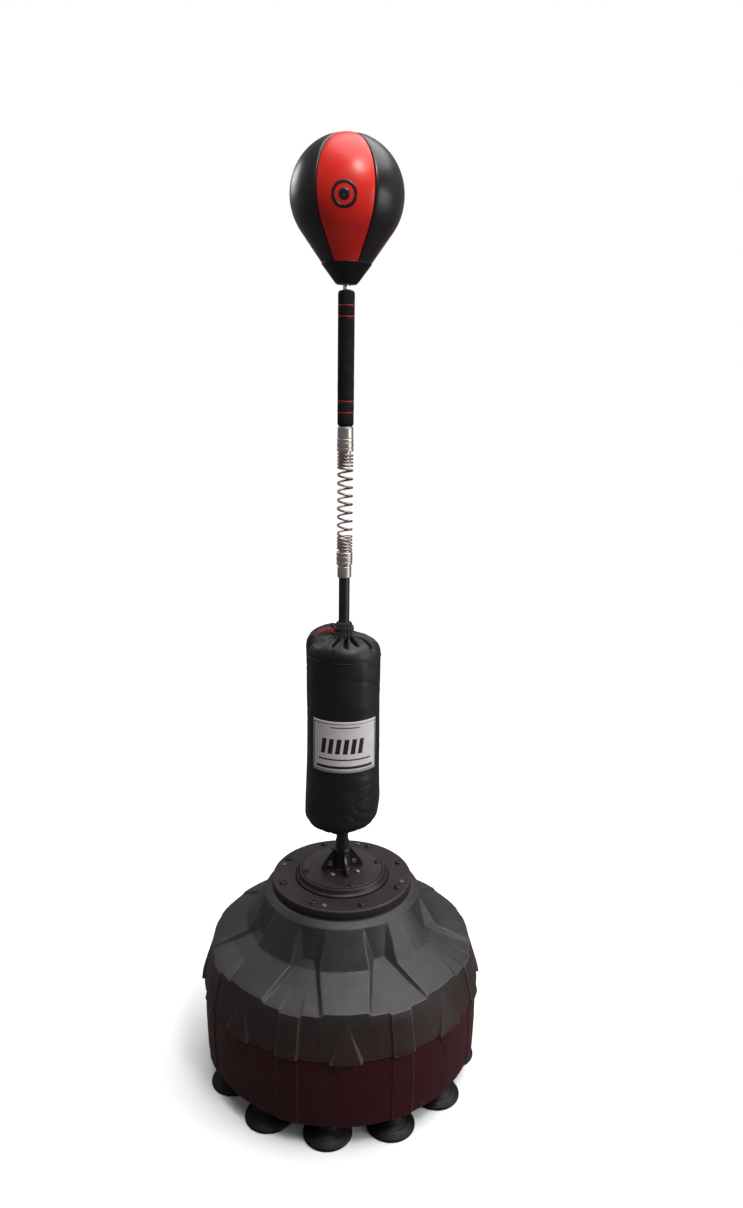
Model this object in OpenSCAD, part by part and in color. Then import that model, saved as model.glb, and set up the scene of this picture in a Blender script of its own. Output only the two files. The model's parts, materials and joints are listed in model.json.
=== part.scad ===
// Free-standing spring reflex bag: a ballast tank on suction cups, a telescoping mast
// wrapped in a lower striking bag, a flexing coil spring and a speed ball on a foam grip.
// Millimetres, +Z up. The origin is on the floor under the mast and the front faces -Y.
// Angles round the tank are measured from the front (-Y) towards +X.

/* [Ballast tank] */
// Height of the underside above the floor
tank_underside = 52; // [44:1:60]
// Radius of the underside
tank_foot_r = 296; // [285:1:298]
// Radius of the ledge round the waist
ledge_r = 300.5; // [299:0.5:304]
// Height of the ledge
ledge_z = 209; // [200:1:215]
// Radius of the seat under the clamp ring
seat_r = 152.5; // [151:0.5:156]
// Height of the seat
seat_z = 416; // [410:1:420]
// How far the arrowheads and pilasters stand out of the skirt
relief = 6; // [2:0.5:8]
// Angle of the front raised panel
pattern_turn = 3.7; // [0:0.1:10]
// Number of raised panels
panels = 8; // [8]

/* [Filler] */
// Bore of the filler neck
filler_bore = 40; // [30:1:42]
// Height of the filler neck above the panel
filler_rise = 11; // [9:1:14]

/* [Suction cups] */
// Number of cups
cups = 12; // [12]
// Diameter of a cup
cup_d = 100.8; // [95:0.2:102]
// Radius of the ring that the cups stand on
cup_ring_r = 250; // [240:1:252]
// Angle of the front cup
cup_turn = -4; // [-15:1:15]

/* [Top mount] */
// Radius of the clamp ring
ring_r = 150; // [146:0.5:151]
// Thickness of the clamp ring and hub flange together
ring_h = 20.6; // [18:0.2:24]
// Height of the hub boss above the clamp ring
boss_rise = 14; // [10:1:18]
// Radius of the boss at its foot
boss_r = 99; // [95:1:100]
// Radius of the steel mast plate
plate_r = 86; // [84:1:87]
// Height of the mast socket above the mast plate
socket_h = 66; // [55:1:75]

/* [Mast] */
// Outer diameter of the lower tube
lower_d = 25.4; // [25.4]
// Outer diameter of the upper tube
upper_d = 22; // [22]
// Radial running clearance between the tubes
slide_gap = 0.06; // [0.03:0.01:0.1]
// Height of the top of the lower tube
lower_top = 950; // [930:1:955]
// Height of the bottom of the upper tube
upper_foot = 790; // [780:1:800]

/* [Lower bag] */
// Diameter of the bag
bag_d = 153.6; // [150:0.2:156]
// Height of the bottom of the bag
bag_bottom = 551; // [545:1:556]
// Height of the top of the bag
bag_top = 981; // [976:1:988]
// Angle covered by the label
label_angle = 112; // [90:1:120]
// Height of the label
label_h = 109.5; // [90:0.5:115]

/* [Spring] */
// Height of the lower end of the spring
spring_z = 1146; // [1146]
// Length of the spring
spring_len = 197; // [190:1:200]
// Outer diameter of the spring
spring_d = 32; // [31:0.5:33]
// Diameter of the spring wire
wire_d = 4.5; // [4:0.1:4.8]

/* [Head] */
// Height of the foam grip's lower end
grip_z = 1391; // [1391]
// Length of the foam grip
grip_len = 249; // [240:1:249]
// Diameter of the foam grip
grip_d = 31.6; // [31:0.1:33]
// Largest radius of the ball
ball_r = 105; // [100:1:108]
// Height of the ball's centre
ball_z = 1803; // [1803]
// Thickness of the ball's leather panels
leather = 2.6; // [2:0.1:3]

/* [Hidden] */
$fn = 64;
CUP_NODES = [for (i = [1:12]) str("suction_cup_", i < 10 ? "0" : "", i)];
PANEL_NODES = [for (i = [1:6]) str("ball_panel_", i)];

wall = 4.5;
sector = 360 / panels;
insert_h = 12;
insert_r = 148;
ring_top = seat_z + ring_h;
hub_flange_h = 8;
plate_h = 5;
plate_z = ring_top + boss_rise - plate_h + 1;
plate_top = plate_z + plate_h;
bolt_circle = 132;
mast_z = plate_top + 1;
bag_r = bag_d / 2;
cover_t = 1.6;
grip_top = grip_z + grip_len;
collar_split = 1368;
label_z = 705;
sink = 0.01;

// A point on a circle round the mast
function around(angle, r, z) = [r * sin(angle), -r * cos(angle), z];
function lerp(a, b, t) = a + (b - a) * t;
// Points along an arc in the radius-height plane
function arc(r0, z0, r, from, to, steps) =
    [for (i = [0:steps]) let (a = lerp(from, to, i / steps)) [r0 + r * cos(a), z0 + r * sin(a)]];

// Places children at equal steps round the mast, facing outward along +X
module ring_of(count, radius, turn = 0) {
    for (i = [0:count - 1])
        rotate([0, 0, turn + i * 360 / count - 90]) translate([radius, 0, 0]) children();
}

// ---- Ballast tank ----
// Each sector between two raised panels is laid out in columns, from a panel's middle to a
// valley's middle and back: middle, arrow edge, panel edge, panel foot, two valley columns,
// pilaster foot, pilaster edge, valley middle.

// Dome stations: panel radius and height, valley radius and height, half widths of the
// panel's face and of its foot
dome = [
    [seat_r, seat_z - 0.6, seat_r, seat_z - 0.6, 12, 14.5],
    [165.5, 406.6, 165.5, 406.6, 12.2, 14.5],
    [186, 372.5, 174.4, 378, 13, 16],
    [200, 349.5, 185.5, 344.5, 13.7, 18.8],
    [207, 338, 199, 333, 13.8, 16.6],
    [240, 319, 236.5, 312, 11.3, 13.1],
    [279, 297, 281, 291.5, 8.9, 10.3]];
pilaster_edge = 4.25;
pilaster_foot = 5;

function dome_column(s, c) =
    c == 0 ? 0 : c == 1 ? s[4] / 2 : c == 2 ? s[4] : c == 8 ? sector / 2
    : lerp(s[5], sector / 2, [0, 0.3, 0.5, 0.596, 0.651][c - 3]);
function dome_point(s, c, last) =
    let (panel = c < 3, push = last && c > 6 ? 1 : 0)
    [dome_column(s, c), (panel ? s[0] : s[2]) + push * relief, (panel ? s[1] : s[3]) - push * relief * 0.8];

// Half the angle of an arrowhead where it meets the ledge
arrow_half = 5.8;

// Skirt columns at a fraction of the way from the dome's rim (0) down to the ledge (1)
function skirt_column(c, t) =
    [0, lerp(0.3, arrow_half, t), lerp(1.5, arrow_half + 1, t), lerp(10.3, 9, t), 13, 16,
     sector / 2 - pilaster_foot, sector / 2 - pilaster_edge, sector / 2][c];
function skirt_point(c, t) =
    let (rim = dome_point(dome[6], c, true), proud = c < 2 ? relief * t : c > 6 ? relief * 0.9 : 0)
    [skirt_column(c, t), lerp(c > 6 ? rim[1] - relief : rim[1], ledge_r, t) + proud,
     lerp(rim[2], ledge_z - (c < 2 || c > 6 ? 3 : 0), t)];

// Lower wall columns: the arrow runs to a point below the ledge
function wall_point(c, r, z, arrow) =
    [c == 1 ? max(0.3, arrow_half * arrow) : c == 2 ? max(1.2, (arrow_half + 1) * arrow) : skirt_column(c, 1),
     r + (c < 2 ? relief * 0.7 * arrow : c > 6 ? 2.4 : 0), z];

function half_row(i) =
    i < 7 ? [for (c = [0:8]) dome_point(dome[i], c, i == 6)]
    : i < 10 ? let (t = [0.14, 0.55, 1][i - 7]) [for (c = [0:8]) skirt_point(c, t)]
    : let (w = [[ledge_r - 4.5, ledge_z - 7, 0.8], [tank_foot_r + 2.6, 150, 0], [tank_foot_r + 1.5, 100, 0],
                [tank_foot_r, tank_underside + 6, 0], [tank_foot_r - 4.5, tank_underside, 0]][i - 10])
        [for (c = [0:8]) wall_point(c, w[0], w[1], w[2])];
function full_row(i) =
    let (h = half_row(i))
    [for (k = [0:panels - 1], c = [0:15])
        let (p = c < 9 ? h[c] : h[16 - c], a = c < 9 ? p[0] : sector - p[0])
        around(pattern_turn + sector * k + a, p[1], p[2])];

tank_rows = 15;
tank_cols = 16 * panels;
// Stations of the smooth inner skin, from the top down
inner_skin = [
    [146, seat_z - insert_h - wall], [152, 396], [174, 343], [268, 284], [ledge_r - 9, 203],
    [tank_foot_r - 4, 150], [tank_foot_r - 5, tank_underside + 10],
    [tank_foot_r - 10, tank_underside + wall]];
inner_cols = 32;

// Closes a stack of equal rings of points, listed from the top down, into a solid
module ring_stack(rings, cols) {
    count = len(rings);
    sides = [for (i = [0:count - 2], j = [0:cols - 1])
        let (a = i * cols + j, b = i * cols + (j + 1) % cols)
        each [[a, b, b + cols], [a, b + cols, a + cols]]];
    lids = [[for (j = [cols - 1:-1:0]) j], [for (j = [0:cols - 1]) (count - 1) * cols + j]];
    polyhedron(points = [for (r = rings, p = r) p], faces = concat(sides, lids), convexity = 6);
}

tank_spot = [238, 320];
filler_tilt = 30;
filler_turn = 180 + pattern_turn;
// Turn of the neck and cap about their own axis
filler_spin = 8;

module at_filler() {
    rotate([0, 0, filler_turn - 90]) translate([tank_spot[0], 0, tank_spot[1]]) rotate([0, filler_tilt, 0])
        rotate([0, 0, filler_spin]) children();
}

module base_tank() {
    color([0.10, 0.10, 0.10]) difference() {
        union() {
            difference() {
                ring_stack([for (i = [0:tank_rows - 1]) full_row(i)], tank_cols);
                ring_stack([for (s = inner_skin) [for (j = [0:inner_cols - 1])
                    around(j * 360 / inner_cols, s[0], s[1])]], inner_cols);
            }
            at_filler() translate([0, 0, -wall]) cylinder(r = filler_bore / 2 + 4, h = wall + filler_rise);
        }
        at_filler() translate([0, 0, -20]) cylinder(d = filler_bore, h = 20 + filler_rise + 1);
        translate([0, 0, seat_z - insert_h]) cylinder(r = insert_r, h = insert_h + 1);
    }
}

// Screw cap over the outside of the filler neck, with finger grips
cap_bore = filler_bore / 2 + 4.4;
cap_r = cap_bore + 3.2;
module filler_cap() {
    color([0.13, 0.13, 0.13]) at_filler() difference() {
        union() {
            cylinder(r = cap_r, h = filler_rise + 4);
            ring_of(12, cap_r) cylinder(r = 2.6, h = filler_rise + 3);
        }
        translate([0, 0, -8]) cylinder(r = cap_bore, h = 8 + filler_rise + 1.2);
        cylinder(r = cap_r + 6, h = 3);
    }
}

module filler_seal() {
    color([0.25, 0.05, 0.05]) at_filler() translate([0, 0, filler_rise + 0.3]) difference() {
        cylinder(r = cap_bore - 0.4, h = 0.9);
        translate([0, 0, -1]) cylinder(r = filler_bore / 2 - 2, h = 3);
    }
}

// ---- Suction cups ----
function cup_angle(i) = cup_turn + (i - 1) * 360 / cups;

// Bell of a cup: a thin flared skirt under a solid neck that takes the stud
module suction_cup(i) {
    r = cup_d / 2;
    color([0.11, 0.11, 0.12]) translate(around(cup_angle(i), cup_ring_r, 0)) rotate_extrude()
        polygon([[0, 14], [14, 13], [30, 7], [r - 7, 0], [r - 1, 0], [r, 1.5], [r - 0.6, 4.5], [r - 4, 8],
                 [r - 12, 13.5], [r - 24, 20], [19, 27], [16, 33], [15.5, tank_underside - 10.5],
                 [4, tank_underside - 10.5], [4, 24], [0, 24]]);
}

// Stud and flange nut between each cup and the tank
module cup_studs() {
    color([0.55, 0.55, 0.57]) for (i = [1:cups]) translate(around(cup_angle(i), cup_ring_r, 0)) {
        translate([0, 0, 24]) cylinder(r = 4, h = tank_underside - 24 - 3);
        translate([0, 0, tank_underside - 10.5]) cylinder(r = 12, h = 2.5);
        translate([0, 0, tank_underside - 8]) cylinder(r = 7.5, h = 8, $fn = 6);
    }
}

// ---- Top mount ----
bolt_turn = 20;
screw_turn = -14;

module at_bolts(z) { ring_of(8, bolt_circle, bolt_turn) translate([0, 0, z]) children(); }
module at_screws(z) { ring_of(4, bolt_circle, screw_turn) translate([0, 0, z]) children(); }
module at_plate_bolts(z) { ring_of(4, 79, 16) translate([0, 0, z]) children(); }
module at_socket_screws(z) { ring_of(4, 38, 61) translate([0, 0, z]) children(); }

// Round plate with blind tapped holes, moulded into the top of the tank
module mounting_insert() {
    color([0.45, 0.45, 0.47]) difference() {
        translate([0, 0, seat_z - insert_h]) cylinder(r = insert_r, h = insert_h);
        at_bolts(seat_z - 9) cylinder(r = 4, h = 10);
        at_screws(seat_z - 9) cylinder(r = 3, h = 10);
    }
}

// Moulded hub: a flange under the clamp ring and a bevelled boss through it
module mount_hub() {
    top = ring_top + boss_rise;
    flange_r = ring_r - 1.5;
    color([0.12, 0.12, 0.12]) difference() {
        rotate_extrude() polygon([[0, seat_z], [flange_r, seat_z], [flange_r, seat_z + hub_flange_h],
            [boss_r, seat_z + hub_flange_h], [boss_r, ring_top + 2], [boss_r - 4, ring_top + 5],
            [plate_r + 6.5, top - 1.5], [plate_r + 5, top],
            [plate_r + 0.8, top], [plate_r + 0.8, plate_z], [0, plate_z]]);
        at_bolts(seat_z - 1) cylinder(r = 4.2, h = hub_flange_h + 2);
        at_screws(seat_z - 1) cylinder(r = 3.2, h = hub_flange_h + 2);
        at_plate_bolts(plate_z - 14) cylinder(r = 3, h = 15);
        at_socket_screws(plate_z - 14) cylinder(r = 3, h = 15);
    }
}

module clamp_ring() {
    low = seat_z + hub_flange_h;
    bore_r = boss_r + 0.6;
    color([0.16, 0.16, 0.16]) difference() {
        rotate_extrude() polygon([[bore_r, low], [ring_r - 0.6, low], [ring_r, low + 0.6],
            [ring_r, ring_top - 2], [ring_r - 2, ring_top], [bore_r + 2, ring_top], [bore_r, ring_top - 2]]);
        at_bolts(low - 1) cylinder(r = 4.2, h = ring_h);
        at_screws(low - 1) cylinder(r = 3.2, h = ring_h);
    }
}

// Button-head bolt with a hexagon socket; the head's underside is at z = 0
module bolt(shank_r, shank, head_r, head_h) {
    difference() {
        union() {
            translate([0, 0, -shank]) cylinder(r = shank_r, h = shank + sink);
            cylinder(r = head_r, h = head_h * 0.5);
            translate([0, 0, head_h * 0.5]) cylinder(r1 = head_r, r2 = head_r * 0.72, h = head_h * 0.5);
        }
        translate([0, 0, head_h * 0.45]) cylinder(r = head_r * 0.42, h = head_h, $fn = 6);
    }
}

module ring_bolts() { color([0.06, 0.06, 0.06]) at_bolts(ring_top) bolt(4, ring_h + 8, 7, 4.4); }
module ring_screws() { color([0.2, 0.2, 0.2]) at_screws(ring_top) bolt(3, ring_h + 8, 5.5, 3.2); }
module plate_bolts() { color([0.1, 0.1, 0.1]) at_plate_bolts(plate_top) bolt(3, plate_h + 12, 5.6, 3.6); }
module socket_screws() {
    color([0.75, 0.75, 0.76]) at_socket_screws(plate_top) bolt(3, plate_h + 12, 5.6, 3.6);
}

module mast_plate() {
    color([0.14, 0.13, 0.13]) difference() {
        union() {
            translate([0, 0, plate_z]) cylinder(r = plate_r, h = plate_h - 1);
            translate([0, 0, plate_top - 1]) cylinder(r1 = plate_r, r2 = plate_r - 1, h = 1);
        }
        at_plate_bolts(plate_z - 1) cylinder(r = 3.2, h = plate_h + 2);
        at_socket_screws(plate_z - 1) cylinder(r = 3.2, h = plate_h + 2);
    }
}

// ---- Mast socket ----
socket_r = 17;
sleeve_r = 14.3;
socket_step = socket_h - 20;
gusset_reach = 46;

module mast_socket() {
    color([0.12, 0.12, 0.12]) translate([0, 0, plate_top]) rotate_extrude()
        polygon([[0, 0], [socket_r, 0], [socket_r, socket_step - 1.5], [socket_r - 1.5, socket_step],
                 [sleeve_r, socket_step], [sleeve_r, socket_h], [lower_d / 2 + 0.1, socket_h],
                 [lower_d / 2 + 0.1, 1], [0, 1]]);
}

// Four triangular webs with a lightening hole, welded between the socket and the plate
module socket_gussets() {
    color([0.12, 0.12, 0.12]) ring_of(4, 0, 16) translate([0, 2.5, plate_top]) rotate([90, 0, 0])
        linear_extrude(height = 5) difference() {
            polygon([[socket_r, 0], [gusset_reach, 0], [gusset_reach, 7], [socket_r + 5, socket_step - 2],
                     [socket_r, socket_step - 2]]);
            translate([socket_r + 10.5, 13.5]) circle(r = 5.5);
        }
}

module tube(r, bore, low, high) {
    translate([0, 0, low]) difference() {
        cylinder(r = r, h = high - low);
        translate([0, 0, -1]) cylinder(r = bore, h = high - low + 2);
    }
}

module mast_lower() {
    color([0.10, 0.10, 0.10]) tube(lower_d / 2, upper_d / 2 + slide_gap, mast_z, lower_top);
}

// ---- Lower bag ----
neck_bore = upper_d / 2 + 0.5;
foam_bore = lower_d / 2;
neck_top = 1009;

// Outline of the bag from its lower neck to its upper one, shrunk by t
function bag_outline(t) = concat(
    [[14.4, bag_bottom + t], [46.8, bag_bottom + 6 + t]], arc(46.8, bag_bottom + 36, 30 - t, -75, 0, 6),
    arc(48.8, bag_top - 41, 28 - t, 0, 72, 6), [[22, bag_top - 1.5 - t], [14.4, bag_top - t]]);

module bag_cover() {
    inner = bag_outline(cover_t);
    color([0.07, 0.065, 0.065]) rotate_extrude()
        polygon(concat(bag_outline(0), [for (i = [len(inner) - 1:-1:0]) inner[i]]));
}

module bag_foam() {
    color([0.8, 0.78, 0.7]) difference() {
        rotate_extrude() polygon(concat([[0, bag_bottom + cover_t + 0.3]], bag_outline(cover_t + 0.3),
            [[0, bag_top - cover_t - 0.3]]));
        translate([0, 0, bag_bottom - 1]) cylinder(r = foam_bore, h = lower_top - bag_bottom + 1);
        translate([0, 0, bag_bottom]) cylinder(r = neck_bore, h = 500);
    }
}

// Gathered neck of the bag, drawn in round the upper tube
module bag_neck() {
    color([0.05, 0.05, 0.05]) rotate_extrude()
        polygon([[neck_bore, bag_top], [20.6, bag_top], [19.4, bag_top + 9], [18, neck_top - 8],
                 [12.6, neck_top], [neck_bore, neck_top]]);
}

module bag_label() {
    color([0.62, 0.60, 0.59]) translate([0, 0, label_z]) rotate([0, 0, -90 - label_angle / 2])
        rotate_extrude(angle = label_angle) translate([bag_r, 0]) square([0.8, label_h]);
}

// Red tape end tucked out of the bag's neck
module tie_tape() {
    color([0.75, 0.10, 0.12]) translate([-20, -5, bag_top - 3]) rotate([0, 8, 188])
        translate([0, -0.7, 3.5]) cube([32, 1.4, 11]);
}

// Cord tied round the bottom of the bag
module foot_tie() {
    color([0.05, 0.05, 0.05]) tube(lower_d / 2 + 3.4, lower_d / 2, bag_bottom - 7, bag_bottom - 0.5);
}

// ---- Upper mast, moving up and down ----
ferrule_z = 1094;
collar_z = 1120;
seat_r_spring = spring_d / 2 - wire_d - 0.4;

module mast_upper() {
    color([0.10, 0.09, 0.09]) tube(upper_d / 2, upper_d / 2 - 1.6, upper_foot, spring_z - 6);
}

// Plastic plug that closes the foot of the upper tube
module mast_foot() {
    color([0.3, 0.3, 0.3]) translate([0, 0, upper_foot - 4]) {
        cylinder(r = upper_d / 2, h = 4);
        cylinder(r = upper_d / 2 - 1.6, h = 18);
    }
}

module lower_ferrule() {
    color([0.45, 0.42, 0.40]) rotate_extrude()
        polygon([[upper_d / 2, ferrule_z], [13.2, ferrule_z], [14, ferrule_z + 1], [14, collar_z - 1.5],
                 [13.3, collar_z - 1], [13.3, collar_z], [upper_d / 2, collar_z]]);
}

// Collar with a spigot that the spring's last turns grip
module lower_collar() {
    color([0.45, 0.42, 0.40]) difference() {
        union() {
            rotate_extrude() polygon([[0, collar_z], [15, collar_z], [16, collar_z + 1], [16, spring_z - 1],
                [15, spring_z], [0, spring_z]]);
            translate([0, 0, spring_z - 1]) cylinder(r = seat_r_spring, h = 20);
        }
        translate([0, 0, collar_z - 1]) cylinder(r = upper_d / 2, h = spring_z - 6 - collar_z + 1);
    }
}

// ---- Spring ----
end_turns = 4.5;
open_turns = 8;
spring_turns = open_turns + 2 * end_turns;
end_pitch = 6.6;
steps_per_turn = 20;
wire_sides = 8;
coil_h = spring_len - wire_d - 0.6;
open_pitch = (coil_h - 2 * end_turns * end_pitch) / open_turns;

// Height of the wire's middle after a number of turns: close at both ends, open between
function coil_rise(n) =
    n < end_turns ? end_pitch * n
    : n < end_turns + open_turns ? end_turns * end_pitch + (n - end_turns) * open_pitch
    : coil_h - (spring_turns - n) * end_pitch;

module flex_spring() {
    coil_r = (spring_d - wire_d) / 2;
    steps = spring_turns * steps_per_turn;
    points = [for (i = [0:steps], k = [0:wire_sides - 1])
        let (n = i / steps_per_turn, a = k * 360 / wire_sides, r = coil_r + wire_d / 2 * cos(a))
        [r * sin(360 * n), r * cos(360 * n), coil_rise(n) + wire_d / 2 * sin(a)]];
    sides = [for (i = [0:steps - 1], k = [0:wire_sides - 1])
        let (a = i * wire_sides + k, b = i * wire_sides + (k + 1) % wire_sides)
        each [[a, a + wire_sides, b + wire_sides], [a, b + wire_sides, b]]];
    lids = [[for (k = [0:wire_sides - 1]) k], [for (k = [wire_sides - 1:-1:0]) steps * wire_sides + k]];
    color([0.42, 0.38, 0.37]) translate([0, 0, spring_z + wire_d / 2 + 0.3])
        polyhedron(points = points, faces = concat(sides, lids), convexity = 10);
}

// ---- Head ----
spring_top = spring_z + spring_len;
head_tube_r = 11;

module upper_collar() {
    color([0.45, 0.42, 0.40]) difference() {
        union() {
            rotate_extrude() polygon([[0, spring_top], [15, spring_top], [16, spring_top + 1],
                [16, collar_split - 1], [15, collar_split], [0, collar_split]]);
            translate([0, 0, spring_top - 19]) cylinder(r = seat_r_spring, h = 20);
        }
        translate([0, 0, spring_top + 6]) cylinder(r = head_tube_r, h = collar_split);
    }
}

module upper_ferrule() {
    color([0.45, 0.42, 0.40]) rotate_extrude()
        polygon([[head_tube_r, collar_split], [14.6, collar_split], [15.3, collar_split + 1],
                 [15.3, grip_z - 1.5], [14.6, grip_z - 0.3], [head_tube_r, grip_z - 0.3]]);
}

module head_tube() {
    color([0.3, 0.3, 0.3]) tube(head_tube_r, head_tube_r - 1.6, spring_top + 6, grip_top - 6);
}

ring_heights = [1417, 1438, 1593, 1613];
grip_ring_h = 2.6;
groove = 1;

module foam_grip() {
    r = grip_d / 2;
    color([0.06, 0.055, 0.055]) difference() {
        rotate_extrude() polygon(concat([[0, grip_z]], arc(r - 4, grip_z + 4, 4, -90, 0, 4),
            arc(r - 5, grip_top - 5, 5, 0, 90, 4), [[0, grip_top]]));
        translate([0, 0, grip_z - 1]) cylinder(r = head_tube_r, h = grip_len - 5);
        translate([0, 0, grip_z]) cylinder(r = 4, h = grip_len + 1);
        for (z = ring_heights) tube(r + 1, r - groove, z - grip_ring_h / 2, z + grip_ring_h / 2);
    }
}

module grip_rings() {
    r = grip_d / 2;
    color([0.72, 0.10, 0.10]) for (z = ring_heights)
        tube(r + 0.35, r - groove, z - grip_ring_h / 2, z + grip_ring_h / 2);
}

// Threaded plug in the end of the head tube
module tube_plug() {
    color([0.4, 0.4, 0.4]) tube(head_tube_r - 1.6, 4, grip_top - 30, grip_top - 6);
}

module ball_stud() {
    color([0.8, 0.8, 0.8]) translate([0, 0, grip_top - 28]) cylinder(r = 4, h = 70);
}

// Nut and washer that lock the ball on its stud
module jam_nut() {
    color([0.8, 0.8, 0.8]) difference() {
        union() {
            translate([0, 0, grip_top]) cylinder(r = 8, h = 1.6);
            translate([0, 0, grip_top + 1.6]) cylinder(r = 7.4, h = 6.6, $fn = 6);
        }
        translate([0, 0, grip_top - 1]) cylinder(r = 4, h = 12);
    }
}

// The ball is a sphere with a cone tangent to its lower half
cone_angle = 35.5;
ball_foot = 1651;
cup_top = 1686;

// Radius of the ball's cone at a height, for a skin sunk by t
function cone_r(z, t) =
    ((ball_r - t) - (ball_z - z) * sin(cone_angle)) / cos(cone_angle);
function ball_outline(t, low) =
    concat([[cone_r(low, t), low]], arc(0, ball_z, ball_r - t, -cone_angle, 90, 20));

module ball_skin(outer, inner, low) {
    in = ball_outline(inner, low);
    polygon(concat(ball_outline(outer, low), [for (i = [len(in) - 1:-1:0]) in[i]]));
}

module ball_panel(i) {
    color(i % 2 == 1 ? [0.72, 0.06, 0.07] : [0.08, 0.08, 0.08]) rotate([0, 0, -120 + 60 * (i - 1)])
        rotate_extrude(angle = 60) ball_skin(0, leather, ball_foot + 4);
}

module ball_bladder() {
    color([0.2, 0.2, 0.2]) rotate_extrude() ball_skin(leather, leather + 1.2, ball_foot + 6);
}

module ball_insert() {
    z = ball_foot + 6;
    r = cone_r(z, leather + 1.2);
    color([0.15, 0.15, 0.15]) difference() {
        rotate_extrude()
            polygon([[0, z], [r, z], [cone_r(z + 14, leather + 1.2), z + 14], [16, z + 34], [0, z + 34]]);
        translate([0, 0, z - 1]) cylinder(r = 4, h = grip_top + 42 - z + 1);
    }
}

// Moulded cup under the ball that covers the ends of the panels
module ball_cup() {
    color([0.05, 0.05, 0.05]) difference() {
        rotate_extrude() polygon([[0, ball_foot - 1], [cone_r(ball_foot + 2, -1.4) - 2.5, ball_foot - 1],
            [cone_r(ball_foot + 2, -1.4), ball_foot + 2], [cone_r(cup_top - 1, -1.4), cup_top - 1],
            [cone_r(cup_top, -0.4), cup_top], [cone_r(cup_top, 0), cup_top],
            [cone_r(ball_foot + 4, 0), ball_foot + 4],
            [0, ball_foot + 4]]);
        translate([0, 0, ball_foot - 2]) cylinder(r = 4, h = 10);
    }
}

base_tank();
cup_studs();
mounting_insert();
mount_hub();
clamp_ring();
ring_bolts();
ring_screws();
mast_plate();
plate_bolts();
mast_socket();
socket_gussets();
socket_screws();
mast_lower();
bag_foam();
bag_cover();
bag_neck();
bag_label();
tie_tape();
foot_tie();
filler_cap();
filler_seal();
mast_upper();
mast_foot();
lower_ferrule();
lower_collar();
flex_spring();
upper_collar();
upper_ferrule();
head_tube();
foam_grip();
grip_rings();
tube_plug();
ball_stud();
jam_nut();
ball_insert();
ball_bladder();
ball_cup();
for (i = [1:12]) suction_cup(i);
for (i = [1:6]) ball_panel(i);
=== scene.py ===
"""Looks of a free-standing spring reflex bag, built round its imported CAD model.

Mesh code works in millimetres, in the CAD model's frame: +Z up the mast, -Y the front.
An angle is in degrees round the mast, from the front towards +X. piece() turns millimetres into metres.
Each piece rides on a body of the CAD model and stands for the CAD nodes named where it is finished.
"""
import json
import math

import bmesh
import bpy
import numpy as np
from mathutils import Matrix, Vector, noise


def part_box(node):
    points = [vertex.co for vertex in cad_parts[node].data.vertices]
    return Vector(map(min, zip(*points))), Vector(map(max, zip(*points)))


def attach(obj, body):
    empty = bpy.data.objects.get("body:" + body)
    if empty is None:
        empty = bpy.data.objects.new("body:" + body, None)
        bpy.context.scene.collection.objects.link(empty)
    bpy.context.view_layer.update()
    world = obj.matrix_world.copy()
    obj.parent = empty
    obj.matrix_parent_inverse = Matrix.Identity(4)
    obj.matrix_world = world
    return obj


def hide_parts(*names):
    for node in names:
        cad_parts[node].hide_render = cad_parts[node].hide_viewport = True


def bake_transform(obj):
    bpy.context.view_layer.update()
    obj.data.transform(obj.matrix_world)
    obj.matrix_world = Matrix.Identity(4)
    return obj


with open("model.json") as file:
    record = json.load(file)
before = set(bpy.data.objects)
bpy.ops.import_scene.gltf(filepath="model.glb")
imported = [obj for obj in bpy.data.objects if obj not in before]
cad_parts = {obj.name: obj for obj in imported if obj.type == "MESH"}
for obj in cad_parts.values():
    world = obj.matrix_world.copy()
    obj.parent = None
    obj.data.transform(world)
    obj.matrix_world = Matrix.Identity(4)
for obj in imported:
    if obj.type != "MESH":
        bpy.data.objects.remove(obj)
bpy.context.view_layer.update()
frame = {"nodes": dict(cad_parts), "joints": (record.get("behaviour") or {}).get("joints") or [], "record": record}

MM = 0.001


def add_object(name, data):
    made = bpy.data.objects.new(name, data)
    bpy.context.scene.collection.objects.link(made)
    return made


# ---- Camera, lights and floor ----
def make_camera():
    data = bpy.data.cameras.new("camera")
    data.sensor_fit, data.sensor_width, data.lens = "AUTO", 36, 26.9642384
    data.clip_start, data.clip_end = 0.05, 60
    camera = add_object("camera", data)
    down, roll = 13.55, 0.86
    turn = Matrix.Rotation(math.radians(90 - down), 4, "X") @ Matrix.Rotation(math.radians(roll), 4, "Z")
    camera.matrix_world = Matrix.Translation((0.0553, -1.7763, 1.4676)) @ turn
    bpy.context.scene.camera = camera


def make_lamp(name, kind, place, target, power, **values):
    data = bpy.data.lights.new(name, kind)
    data.energy = power
    for field_name, value in values.items():
        setattr(data, field_name, value)
    lamp = add_object(name, data)
    lamp.location = place
    lamp.rotation_euler = (Vector(target) - Vector(place)).to_track_quat("-Z", "Y").to_euler()


def make_disc_lamp(name, place, target, size, power, spread=180, colour=(1, 1, 1)):
    make_lamp(name, "AREA", place, target, power, shape="DISK", size=size, spread=math.radians(spread),
              color=colour)


def split_by_ray(tree, lit, seen, output):
    """The camera meets the shader seen; light that goes round the scene meets the shader lit."""
    mixer, rays = tree.nodes.new("ShaderNodeMixShader"), tree.nodes.new("ShaderNodeLightPath")
    tree.links.new(rays.outputs["Is Camera Ray"], mixer.inputs["Fac"])
    tree.links.new(lit.outputs[0], mixer.inputs[1])
    tree.links.new(seen.outputs[0], mixer.inputs[2])
    tree.links.new(mixer.outputs[0], tree.nodes[output].inputs["Surface"])


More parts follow.
